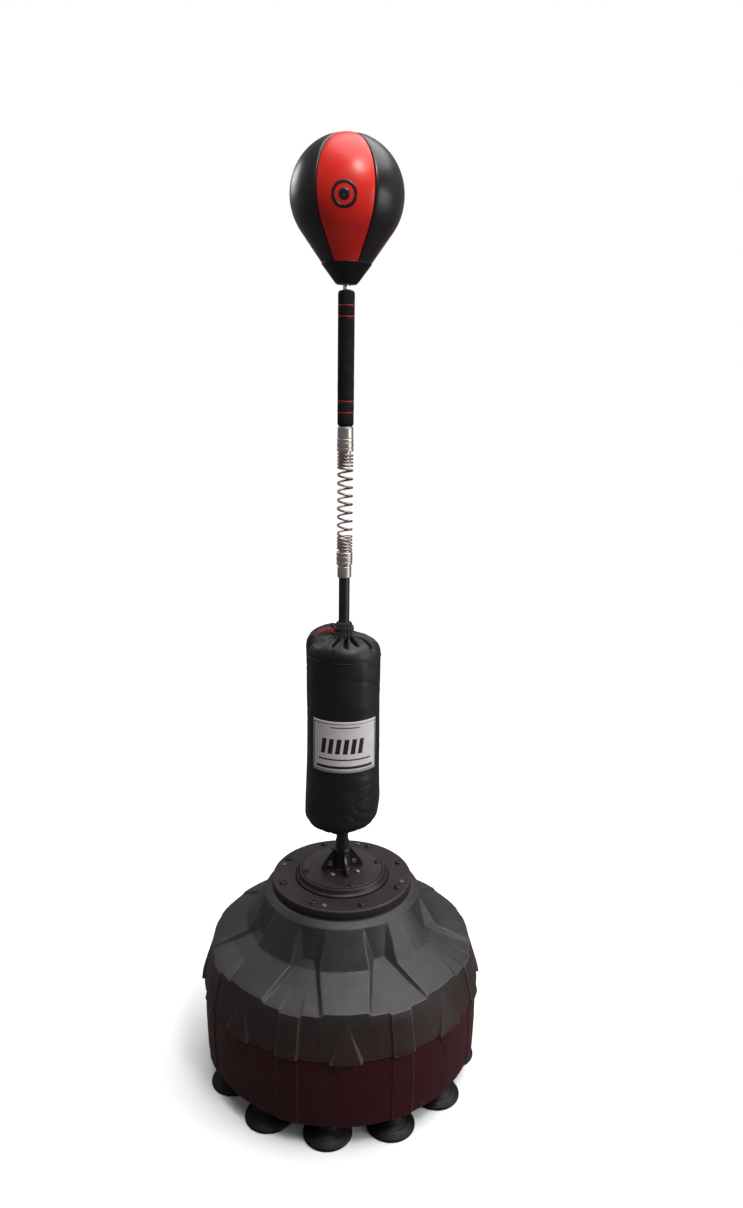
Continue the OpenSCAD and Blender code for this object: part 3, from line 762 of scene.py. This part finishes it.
def make_bolts():
    """The ring's bolts and screws, the plate's bolts and the bright screws at the socket."""
    groups = (("ring_bolts", "black_bolts", 8, 132, 20, 7.2, 4.4, 3.0, 8.8, "clamp_ring"),
              ("ring_screws", "grey_bolts", 4, 132, -14, 5.4, 3.2, 2.3, 0, "clamp_ring"),
              ("plate_bolts", "black_bolts", 4, 79, 16, 5.6, 3.6, 2.4, 7.0, "mast_plate"),
              ("socket_screws", "bright_bolts", 4, 38, 61, 5.6, 3.6, 2.4, 0, "mast_plate"))
    for node, slot, count, circle, turn, radius, height, socket, washer, under in groups:
        one = button_bolt("bolt", radius, height, socket, washer)
        made = copies(node + "_made", one, ring_places(count, circle, turn, extent(under)[1], 17))
        finish_piece(mark_edge_wear_and_highlight(made), "base", slot, node)


def make_hub():
    """The moulded hub, the clamp ring round its boss and the steel plate let into its top."""
    seat, hub_top, _ = extent("mount_hub")
    ring_low, ring_top, ring_r = extent("clamp_ring")
    plate_low, plate_top, plate_r = extent("mast_plate")
    seat_r, boss_r, lap = 148.5, 99, 120
    bore = boss_r + 0.6
    hub = [(0, seat), (seat_r, seat), (seat_r, ring_low), (boss_r, ring_low), (boss_r, ring_top + 2),
           (boss_r - 4, ring_top + 5.2), (plate_r + 6.4, hub_top - 1.8), (plate_r + 5, hub_top),
           (plate_r + 1.4, hub_top), (plate_r + 0.8, hub_top - 1), (plate_r + 0.8, plate_low), (0, plate_low)]
    ring = [(lap, ring_low), (ring_r, ring_low), (ring_r, ring_top - 2.6), (ring_r - 2.2, ring_top),
            (bore + 2.2, ring_top), (bore, ring_top - 2.2), (bore, ring_low), (lap, ring_low)]
    plate = [(0, plate_low), (plate_r, plate_low), (plate_r, plate_top), (0, plate_top)]
    for name, outline, corner, slot, node in (("hub_moulding", hub, 0.9, "hub_plastic", "mount_hub"),
                                              ("ring_moulding", ring, 1.0, "ring_plastic", "clamp_ring"),
                                              ("plate_disc", plate, 0.8, "plate_steel", "mast_plate")):
        finish_piece(mark_edge_wear_and_highlight(turned(name, outline, corner, 128)), "base", slot, node)


def make_socket():
    """Stepped tube socket with its weld bead, and four webs with lightening holes."""
    low, high, radius = extent("mast_socket")
    step = low + 46
    line = [(13.2, low), (radius + 2.4, low), (radius + 1.4, low + 1.6), (radius, low + 3),
            (radius, step - 1.5), (radius - 1.5, step), (14.3, step), (14.3, high), (12.8, high),
            (12.8, high - 8)]
    finish_piece(mark_edge_wear_and_highlight(turned("socket_tube", line, 0.7, 64)), "base", "mast_paint", "mast_socket")
    webs = copies("gusset_webs", gusset("web", radius - 0.5, 46, 44), ring_places(4, 0, 16, low, -90))
    finish_piece(mark_edge_wear_and_highlight(webs), "base", "mast_paint", "socket_gussets")


def gusset(name, inner, reach, height):
    """A triangular web 5 mm thick in the XZ plane, with a round hole and bevelled edges."""
    bevel = 0.7
    curve = bpy.data.curves.new(name, "CURVE")
    curve.dimensions, curve.fill_mode = "2D", "BOTH"
    curve.extrude, curve.bevel_depth, curve.offset = (2.5 - bevel) * MM, bevel * MM, -bevel * MM
    curve.bevel_resolution = 2
    corners = [(inner, 0), (reach, 0), (reach, 7), (inner + 5.5, height), (inner, height)]
    hole = [(inner + 11 + 5.5 * math.cos(a), 13.5 + 5.5 * math.sin(a)) for a in np.arange(24) * math.pi / 12]
    for outline in (corners, hole):
        spline = curve.splines.new("POLY")
        spline.points.add(len(outline) - 1)
        spline.use_cyclic_u = True
        for point, (x, y) in zip(spline.points, outline):
            point.co = (x * MM, y * MM, 0, 1)
    shape = add_object(name, curve)
    mesh = evaluated_mesh(shape)
    bpy.data.objects.remove(shape)
    mesh.transform(Matrix.Rotation(math.radians(90), 4, "X"))
    return weld(add_object(name, mesh))


# ---- Tubes ----
def make_tubes():
    for name, body, node in (("lower_tube", "base", "mast_lower"),
                             ("upper_tube", "upper_mast", "mast_upper")):
        low, high, radius = extent(node)
        tube = turned(name, ring_outline(radius - 1.6, radius, low, high), 0.6, 64)
        finish_piece(tube, body, "mast_paint", node)


# ---- Lower bag ----
BAG_LOW, BAG_HIGH, BAG_R = extent("bag_cover")
LABEL_LOW, LABEL_HIGH, _ = extent("bag_label")
# Pleats at the gathered top: angle, depth and how far out each reaches
PLEATS = [(-62, 4, 60), (-36, 5, 60), (-18, 11, 63), (8, 11, 66), (28, 11, 63), (57, 12, 74), (88, 8, 64),
          (114, 9, 60), (139, 10, 62), (166, 9, 58), (191, 10, 62), (218, 9, 60), (243, 7, 52)]


def smooth_step(x, low, high):
    t = np.clip((x - low) / (high - low), 0, 1)
    return t * t * (3 - 2 * t)


def resampled(line, step):
    """Points at equal steps along a line."""
    line = np.array(line, float)
    gone = np.concatenate([[0], np.cumsum(np.linalg.norm(np.diff(line, axis=0), axis=1))])
    at = np.linspace(0, gone[-1], int(gone[-1] / step) + 1)
    return np.stack([np.interp(at, gone, line[:, 0]), np.interp(at, gone, line[:, 1])], 1)


def arc(r0, z0, radius, start, end, steps=12):
    turn = np.radians(np.linspace(start, end, steps + 1))
    return [(r0 + radius * math.cos(a), z0 + radius * math.sin(a)) for a in turn]


def bag_line():
    """Outline of the bag from its bottom neck to its top one."""
    return ([(15.2, BAG_LOW + 1), (24, BAG_LOW + 1.5), (46, BAG_LOW + 5.6)]
            + arc(BAG_R - 30, BAG_LOW + 36, 30, -72, 0) + [(BAG_R, (BAG_LOW + BAG_HIGH) / 2)]
            + arc(BAG_R - 28, BAG_HIGH - 41, 28, 0, 66)
            + [(44, BAG_HIGH - 10), (34, BAG_HIGH - 8.4), (24, BAG_HIGH - 8), (16, BAG_HIGH - 6)])


def field(points, scale, seed, stretch=(1, 1, 1)):
    """Smooth noise from -1 to 1 at each point; scale is the size of its features in millimetres."""
    offset = Vector((seed * 17.3, seed * 5.1, seed * 9.7))
    factor = Vector(stretch) / scale
    return np.array([noise.noise(Vector(p) * factor + offset) for p in points])


def angle_gap(angle, centre):
    return (angle - centre + 180) % 360 - 180


def calm(angle, z):
    """What share of its folds the bag keeps: little behind the label, and all of them away from it."""
    beside = 1 - smooth_step(np.abs(angle_gap(angle, 0)), 58, 70)
    below = smooth_step(z, LABEL_LOW - 25, LABEL_LOW - 6)
    above = smooth_step(z, LABEL_HIGH + 6, LABEL_HIGH + 25)
    return 1 - 0.85 * beside * below * (1 - above)


def oval(angle):
    """The bag is a little wider one way than the other."""
    return 1.6 * np.sin(np.radians(angle * 2 + 40))


def bulge(angle, z):
    return oval(angle) * smooth_step(z, BAG_LOW, BAG_LOW + 200) * calm(angle, z)


def pleats(angle, r, top, bottom):
    """Grooves with a soft roll on both sides at the top, and shallower ones at the bottom."""
    push = np.zeros_like(r)
    wide = 1.2 + r / 28
    for centre, depth, reach in PLEATS:
        away = angle_gap(angle + 2.5 * np.sin(r / 9 + centre), centre) * np.radians(1) * r
        window = top * (1 - smooth_step(r, reach - 9, reach + 2))
        push -= window * depth * np.exp(-(away / wide) ** 2)
        for side in (-2.4, 2.4):
            push += window * 1.8 * np.exp(-((away + side * wide) / (1.3 * wide)) ** 2)
        low_window = bottom * (1 - smooth_step(r, reach - 4, reach + 12))
        push -= low_window * depth * 0.7 * np.exp(-(away / 2.6) ** 2)
    return push


def bag_grid(cols=420, step=3.0):
    """Angle, radius and height of the cover's points: pleats, folds, creases and a slight sag."""
    line = resampled(bag_line(), step)
    normal = outline_normals(line)
    angle = steps_round(cols)
    r, z = spread(line, angle)
    flat = around(angle, r, z).reshape(-1, 3)
    top = smooth_step(z, BAG_HIGH - 60, BAG_HIGH - 40)
    bottom = 1 - smooth_step(z, BAG_LOW + 8, BAG_LOW + 30)
    push = pleats(angle, r, top, bottom)
    folds = field(flat, 26, 1, (1, 1, 0.22)).reshape(r.shape)
    creases = np.abs(field(flat, 46, 2, (0.55, 0.55, 1.5)).reshape(r.shape))
    crease_depth = 1.6 * (0.35 + 0.3 * smooth_step(BAG_LOW + 120 - z, 0, 90))
    creases = crease_depth * smooth_step(0.10 - creases, 0, 0.10)
    push += calm(angle, z) * (1 - 0.4 * top) * (1.5 * folds - creases)
    push += bulge(angle, z)
    push += 2.0 * smooth_step(BAG_LOW + 170 - z, 0, 120) * (1 - bottom)
    push -= 6.0 * smooth_step(BAG_LOW + 75 - z, 0, 60) * np.clip(np.cos(np.radians(angle - 85)), 0, 1)
    return angle, *left_fold(angle, r + normal[:, :1] * push, z + normal[:, 1:] * push)


def left_fold(angle, r, z):
    """The spare cloth folded over on the left of the neck stands up as a boxy ear."""
    gap = angle_gap(angle, -118)
    wide = smooth_step(gap, -62, -30) * (1 - smooth_step(gap, 36, 48))
    lift = wide * smooth_step(z, BAG_HIGH - 62, BAG_HIGH - 12) * smooth_step(r, 19, 30)
    return r + 3.0 * lift * smooth_step(r, 45, 60), z + 15 * lift


def make_bag():
    cover = thicken(sheet_piece("bag_cover_made", around(*bag_grid())), 1.4)
    finish_piece(mark_edge_wear_and_highlight(cover, 0.5), "base", "bag_vinyl", "bag_cover", "bag_foam")
    make_bag_seams()


def make_bag_seams():
    """Raised seams round the bag under its top, and down its back."""
    turn = steps_round(240)[0]
    top = bead("seam_top", around(turn, BAG_R + 0.35 + oval(turn), BAG_HIGH - 46), 0.9, True)
    heights = np.linspace(BAG_LOW + 40, BAG_HIGH - 46, 60)
    back = bead("seam_back", around(150.0, BAG_R + 0.6, heights), 0.9, False)
    finish_piece(joined("bag_seams", [top, back]), "base", "bag_vinyl")


def bead(name, path, radius, closed, sides=8):
    """A round bead along a path of points."""
    path = np.asarray(path, float)
    ahead = np.roll(path, -1, 0) - np.roll(path, 1, 0)
    if not closed:
        ahead[0], ahead[-1] = path[1] - path[0], path[-1] - path[-2]
    ahead /= np.linalg.norm(ahead, axis=1, keepdims=True)
    side = np.cross(ahead, (0, 0, 1.0))
    lying = np.linalg.norm(side, axis=1) < 0.2
    side[lying] = np.cross(ahead[lying], (1.0, 0, 0))
    side /= np.linalg.norm(side, axis=1, keepdims=True)
    up = np.cross(side, ahead)
    turn = np.radians(steps_round(sides))[..., None]
    grid = path[:, None] + radius * (np.cos(turn) * side[:, None] + np.sin(turn) * up[:, None])
    if closed:
        grid = np.concatenate([grid, grid[:1]])
    return weld(sheet_piece(name, grid, caps=(not closed, not closed)))


def make_neck():
    """Gathered neck drawn in round the tube, and the cord bound round it."""
    low, high, _ = extent("bag_neck")
    line = resampled([(25, low - 11), (22.8, low - 6), (21, low), (19, low + 6), (17.4, low + 12),
                      (16.8, high - 12), (15.6, high - 9), (12.9, high - 7), (11.8, high - 6)], 0.9)
    angle = steps_round(260)
    r, z = spread(line, angle)
    pleat = np.abs(np.sin(np.radians(angle * 8 + 25 * np.sin(np.radians(angle * 3)))))
    tight = 1 - 0.75 * np.exp(-((z - low - 8) / 3.0) ** 2)
    r = r - 1.5 * tight * (1 - pleat) ** 1.5 + 0.5 * tight * pleat
    neck = thicken(sheet_piece("gathered_neck", around(angle, r, z)), 1.0)
    finish_piece(neck, "base", "neck_fabric", "bag_neck")
    turns = np.linspace(0, 2.2, 120)
    cord = around(360 * turns + 40, 19.2, low + 4.6 + 3.0 * turns)
    finish_piece(bead("neck_cord", cord, 1.5, False), "base", "neck_fabric")


def make_foot_tie():
    """The cloth sleeve under the bag, and the cord wound round it."""
    low, high, radius = extent("foot_tie")
    turns = np.linspace(0, 3, 160)
    path = around(360 * turns, radius - 1.6, low + 1.6 + (high - low - 3.2) * turns / 3)
    cord = bead("foot_cord", path, 1.5, False)
    line = [(12.8, low - 1), (14.4, low - 1.5), (14.8, low + 3), (17.5, high + 3), (16, high + 4)]
    sleeve = thicken(turned("foot_sleeve", line, 0.8, 96), 0.8)
    finish_piece(sleeve, "base", "neck_fabric", "foot_tie")
    finish_piece(cord, "base", "neck_fabric")


TAPE_LENGTH, TAPE_WIDTH = 39.0, 10.0


def make_tape():
    """A folded end of red tape that lies against the fold, left of the neck."""
    low = extent("tie_tape")[0] + 2.0
    along = np.linspace(0, 1, 40)[:, None]
    across = np.linspace(0, 1, 7)[None]
    x = -17 - (TAPE_LENGTH - 2.5) * along + 0 * across
    y = -9.5 + 3.0 * np.sin(along * 3.4) + 2.2 * (across - 0.5) ** 2 + 1.6 * across
    z = low - 3.5 + 5.5 * np.sin(along * 2.4 + 0.4) + TAPE_WIDTH * across - 3.5 * along
    tape = sheet_piece("tape_end", np.stack(np.broadcast_arrays(x, y, z), -1), wrap=False)
    finish_piece(thicken(tape, 1.0, 0), "base", "red_tape", "tie_tape")


# ---- Label ----
LABEL_HALF_ANGLE, LABEL_TURN, LABEL_PROUD = 53.5, 4.8, 1.5


def patch(name, angles, heights, proud, thickness, slant=0.0, steps=(2, 2)):
    """A rectangle laid on the bag; slant moves its top along, in degrees."""
    across = np.linspace(*angles, steps[1])[None]
    up = np.linspace(0, 1, steps[0])[:, None]
    z = mix(heights[0], heights[1], up) + 0 * across
    angle = LABEL_TURN + across + slant * up
    grid = around(angle, BAG_R + bulge(angle, z) + proud, z)
    return thicken(sheet_piece(name, grid, wrap=False), thickness, 1.0)


def make_label():
    """Pale patch with a stitched edge and plain printed bars, with no lettering."""
    low, high, half = LABEL_LOW, LABEL_HIGH, LABEL_HALF_ANGLE
    base = patch("label_patch", (-half, half), (low, high), 0.9, 0.6, steps=(24, 90))
    finish_piece(base, "base", "label_print", "bag_label")
    print_marks(low, high)
    stitch_label(low, high, half)


def print_marks(low, high):
    """Printed marks: a frame, a row of slanted bars, and thin lines above and below them."""
    ink = 0.12
    bars = [-38 + 11.5 * i for i in range(6)]
    marks = [patch("bar", (a, a + 7.0), (low + 41, low + 73), LABEL_PROUD, ink, 3.2, (10, 6)) for a in bars]
    edge = 51.5
    for angles, heights, steps in (((-22, 22), (high - 13.5, high - 11.5), (2, 30)),
                                   ((-42, 42), (low + 27, low + 30), (2, 50)),
                                   ((-46, 46), (low + 9, low + 15), (2, 50)),
                                   ((-edge, edge), (low + 4.5, low + 5.6), (2, 60)),
                                   ((-edge, edge), (high - 5.6, high - 4.5), (2, 60)),
                                   ((-edge, 0.9 - edge), (low + 4.5, high - 4.5), (12, 2)),
                                   ((edge - 0.9, edge), (low + 4.5, high - 4.5), (12, 2))):
        marks.append(patch("rule", angles, heights, LABEL_PROUD, ink, steps=steps))
    black, light_tone = (0.006, 0.006, 0.006), (0.012, 0.011, 0.011)
    ink_material = grained_vinyl("label_ink", black, light_tone, 0.5, 900, depth=0.02)
    marks = finish_piece(joined("label_marks", marks), "base", "label_print")
    marks.data.materials[0] = ink_material


def stitch_label(low, high, half):
    """Small stitches round the label's edge."""
    edge, thread, pitch = half - 1.4, 0.32, 3.2
    turn = pitch / math.radians(BAG_R + 1)
    paths = [(LABEL_TURN + angle + np.linspace(0, turn * 0.68, 4), z)
             for z in (low + 1.6, high - 1.6) for angle in np.arange(-edge, edge, turn)]
    paths += [(LABEL_TURN + side, z + np.linspace(0, 2.2, 4))
              for side in (-edge, edge) for z in np.arange(low + 3, high - 3, pitch)]
    stitches = []
    for angle, z in paths:
        path = around(angle, BAG_R + bulge(angle, z) + LABEL_PROUD + 0.15, z)
        stitches.append(bead("stitch", path, thread, False, 6))
    finish_piece(joined("label_stitches", stitches), "base", "neck_fabric")


# ---- Collars and spring ----
def make_collars():
    """Ferrule and collar below the spring, and collar and ferrule above it, with turned grooves."""
    bore = 11.1
    low, high, radius = extent("lower_ferrule")
    line = [(bore, low + 4), (bore, low), (13.0, low), (radius, low + 1.2), (radius, high - 4),
            (radius - 0.7, high - 3.4), (radius - 0.7, high), (bore, high), (bore, low + 4)]
    finish_piece(turned("lower_ferrule_made", line, 0.35, 72), "upper_mast", "nickel", "lower_ferrule")
    low, _, radius = extent("lower_collar")
    collar = grooved_collar("lower_collar_made", low, low + 26, radius, low + 45)
    finish_piece(collar, "upper_mast", "nickel", "lower_collar")
    _, high, radius = extent("upper_collar")
    collar = grooved_collar("upper_collar_made", high, high - 25, radius, high - 44)
    finish_piece(collar, "head", "nickel", "upper_collar")
    low, high, radius = extent("upper_ferrule")
    line = [(bore, low + 4), (bore, low), (14.2, low), (radius, low + 0.9), (radius, high - 3),
            (radius - 0.8, high - 0.2), (bore, high - 0.2), (bore, low + 4)]
    finish_piece(turned("upper_ferrule_made", line, 0.4, 72), "head", "nickel", "upper_ferrule")


def grooved_collar(name, outer_end, spring_end, radius, spigot_end):
    """A collar with a knurled band and two grooves; its spigot goes into the spring."""
    way = 1 if spring_end > outer_end else -1
    line = [(0, outer_end), (radius - 1, outer_end), (radius, outer_end + way)]
    for start in (0.24, 0.66):
        for inset, share in ((0, start), (0.9, start + 0.02), (0.9, start + 0.06), (0, start + 0.08)):
            line.append((radius - inset, mix(outer_end, spring_end, share)))
    line += [(radius, spring_end - way), (radius - 1, spring_end), (11.1, spring_end), (11.1, spigot_end),
             (9.6, spigot_end + 1.5 * way), (0, spigot_end + 1.5 * way)]
    return turned(name, line, 0.3, 96)


WIRE_R, COIL_R, SPRING_LENGTH = 2.25, 13.75, 197.0
OPEN_TURNS, END_TURNS, END_PITCH = 8.0, 4.5, 6.6
TURNS = OPEN_TURNS + 2 * END_TURNS


def coil_rise(n):
    """Height of the wire's middle after n turns: close wound at both ends, open between."""
    rise, end = SPRING_LENGTH - 2 * WIRE_R - 0.6, END_TURNS * END_PITCH
    return np.interp(n, [0, END_TURNS, TURNS - END_TURNS, TURNS], [0, end, rise - end, rise])


def make_spring():
    """The spring in two lengths of wire that meet at its middle turn."""
    low = extent("flex_spring")[0] + WIRE_R
    joints = {j["name"]: j["pos_m"][2] for j in frame["joints"] if "pos_m" in j}
    halves = (("spring_lower_half", 0, TURNS / 2, "upper_mast", "spring_mid", joints["spring_bend_front"]),
              ("spring_upper_half", TURNS / 2, TURNS, "spring_mid", "head", joints["spring_bend_side"]))
    for name, start, end, below, above, pivot in halves:
        n = np.linspace(start, end, int((end - start) * 40) + 1)[:, None]
        wire = wound_wire(name, 180 - 360 * n, COIL_R, WIRE_R, low + coil_rise(n), 12)
        finish_piece(wire, None, "spring_steel", "flex_spring")
        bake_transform(wire)


# ---- Grip ----
RING_HEIGHTS = (1417.0, 1438.0, 1593.0, 1613.0)


def make_grip():
    low, high, radius = extent("foam_grip")
    groove, half = 0.5, 1.3
    line = [(11.3, low + 3), (11.3, low), (radius - 3, low), (radius - 0.8, low + 3), (radius, low + 6)]
    for z in RING_HEIGHTS:
        line += [(radius, z - half - 1.6), (radius - groove, z - half), (radius - groove, z + half),
                 (radius, z + half + 1.6)]
    line += [(radius, high - 6), (radius - 1.2, high - 1.6), (radius - 4, high), (8.3, high), (8.3, high - 3)]
    angle = steps_round(96)
    r, z = spread(resampled(rounded(line, 1.2), 1.5), angle)
    uneven = 0.25 * field(around(angle, r, z).reshape(-1, 3), 9, 5).reshape(r.shape)
    sleeve = sheet_piece("grip_sleeve", around(angle, r + np.where(r > radius - 3, uneven, 0), z))
    finish_piece(sleeve, "head", "grip_foam", "foam_grip")
    outlines = [ring_outline(radius - 1, radius + 0.3, z - half, z + half) for z in RING_HEIGHTS]
    bands = [weld(turned("band", outline, 0.45, 72)) for outline in outlines]
    finish_piece(joined("grip_bands", bands), "head", "red_rings", "grip_rings")


# ---- Ball ----
BALL_R, BALL_Z, CONE, BALL_FOOT, CUP_TOP = 105.0, 1803.0, 35.5, 1651.0, 1686.0


def cone_radius(z):
    return (BALL_R - (BALL_Z - z) * math.sin(math.radians(CONE))) / math.cos(math.radians(CONE))


def ball_line(low):
    return [(cone_radius(low), low)] + arc(0, BALL_Z, BALL_R, -CONE, 89.2, 60)


def panel_grid(centre, cols=33, step=3.2):
    """One sixth of the ball: full in the middle, drawn in along both seams, and turned under there."""
    line = resampled(ball_line(BALL_FOOT + 9), step)
    normal = outline_normals(line)
    across = np.linspace(-1, 1, cols)[None]
    across = np.sign(across) * (1 - (1 - np.abs(across)) ** 1.25)
    from_seam = (1 - np.abs(across)) * np.radians(30) * line[:, :1]
    groove = 1.7 * np.exp(-(from_seam / 1.5) ** 1.2)
    swell = 1.0 * np.sqrt(np.clip(1 - across ** 2, 0, 1)) * smooth_step(line[:, :1], 5, 40)
    push = swell - groove - 0.6
    gap = np.degrees(0.18 / np.maximum(line[:, :1], 4))
    return around(centre + across * (30 - gap), line[:, :1] + normal[:, :1] * push,
                  line[:, 1:] + normal[:, 1:] * push)


def make_ball():
    """Six stitched panels on the bladder, the moulded cup under them and the plain printed mark."""
    depth = 3.2
    inside = [(max(r - depth, 0.5), z - depth * smooth_step(z, BALL_Z, BALL_Z + BALL_R))
              for r, z in ball_line(BALL_FOOT + 6)]
    bladder = turned("inner_bladder", [(0, inside[0][1]), *inside, (0, inside[-1][1])], 0, 96)
    finish_piece(bladder, "head", "ball_rubber", "ball_bladder")
    for i in range(1, 7):
        panel = thicken(sheet_piece(f"leather_panel_{i}", panel_grid(60 * (i - 1)), wrap=False), 2.0)
        finish_piece(panel, "head", "ball_red" if i % 2 else "ball_black", f"ball_panel_{i}")
    make_ball_cup()
    make_ball_mark()


def make_ball_cup():
    """Black moulded cup that follows the cone, with a thin rounded rim."""
    foot, rim = cone_radius(BALL_FOOT), cone_radius(CUP_TOP)
    line = [(8, BALL_FOOT - 0.5), (foot - 1.5, BALL_FOOT - 0.5), (foot + 1.6, BALL_FOOT + 2.5),
            (rim + 1.5, CUP_TOP), (rim + 0.2, CUP_TOP + 1.4), (rim - 3, CUP_TOP - 4)]
    finish_piece(mark_edge_wear_and_highlight(turned("ball_cup_made", line, 1.2, 120)), "head", "cup_black", "ball_cup")


def ball_disc(name, inner, outer, steps=64):
    """A flat ring or disc of print on the front panel; sizes are degrees of arc on the ball."""
    side, drop, radius = -1.0, -8.5, BALL_R + 0.65
    turn = np.radians(steps_round(steps))
    size = np.linspace(inner, outer, 4)[:, None]
    rise = np.radians(drop + size * np.sin(turn))
    angle = side + size * np.cos(turn) / np.cos(rise)
    grid = around(angle, radius * np.cos(rise), BALL_Z + radius * np.sin(rise))
    return thicken(sheet_piece(name, grid), 0.12, 1.0)


def make_ball_mark():
    mark = joined("ball_mark", [ball_disc("mark_ring", 9.4, 12.4), ball_disc("mark_dot", 0.05, 5.4)])
    finish_piece(mark, "head", "ball_black")


def make_nut():
    """Hexagon nut on its washer, under the ball, and the stud through it."""
    low, nut_top, _ = extent("jam_nut")
    angle = steps_round(72)
    hexagon = 6.5 / np.cos(np.radians(angle % 60 - 30))
    rows = [(4.2, low + 3), (4.2, low), (8.0, low), (8.2, low + 0.4), (8.2, low + 1.2), (8.0, low + 1.6),
            (hexagon * 0.97, low + 1.65), (hexagon, low + 2.2), (hexagon, nut_top - 0.6),
            (np.minimum(hexagon, 6.9), nut_top), (4.2, nut_top), (4.2, low + 3)]
    nut = weld(sheet_piece("hexagon_nut", ring_rows(angle, rows)))
    finish_piece(nut, "head", "chrome", "jam_nut")
    low, high, radius = extent("ball_stud")
    stud = turned("stud_rod", [(0, low), (radius, low), (radius, high), (0, high)], 0.5, 32)
    ridge = thread("stud_thread", radius - 0.25, 0.5, 10, 1.25, nut_top - 3, 6, 24)
    finish_piece(joined("stud_made", [stud, ridge]), "head", "chrome", "ball_stud")


# ---- Whole object ----
def dress_cad_nodes():
    """Inner parts keep their CAD shape and take their slot's material."""
    for part in frame["record"]["subparts"]:
        node = frame["nodes"][part["node"]]
        node.data.materials.clear()
        node.data.materials.append(MATERIALS[part["material_slot"]])


make_stage()
MATERIALS = make_materials()
dress_cad_nodes()
make_tank()
make_filler_cap()
make_suction_cups()
make_hub()
make_socket()
make_bolts()
make_tubes()
make_bag()
make_neck()
make_foot_tie()
make_tape()
make_label()
make_collars()
make_spring()
make_grip()
make_ball()
make_nut()
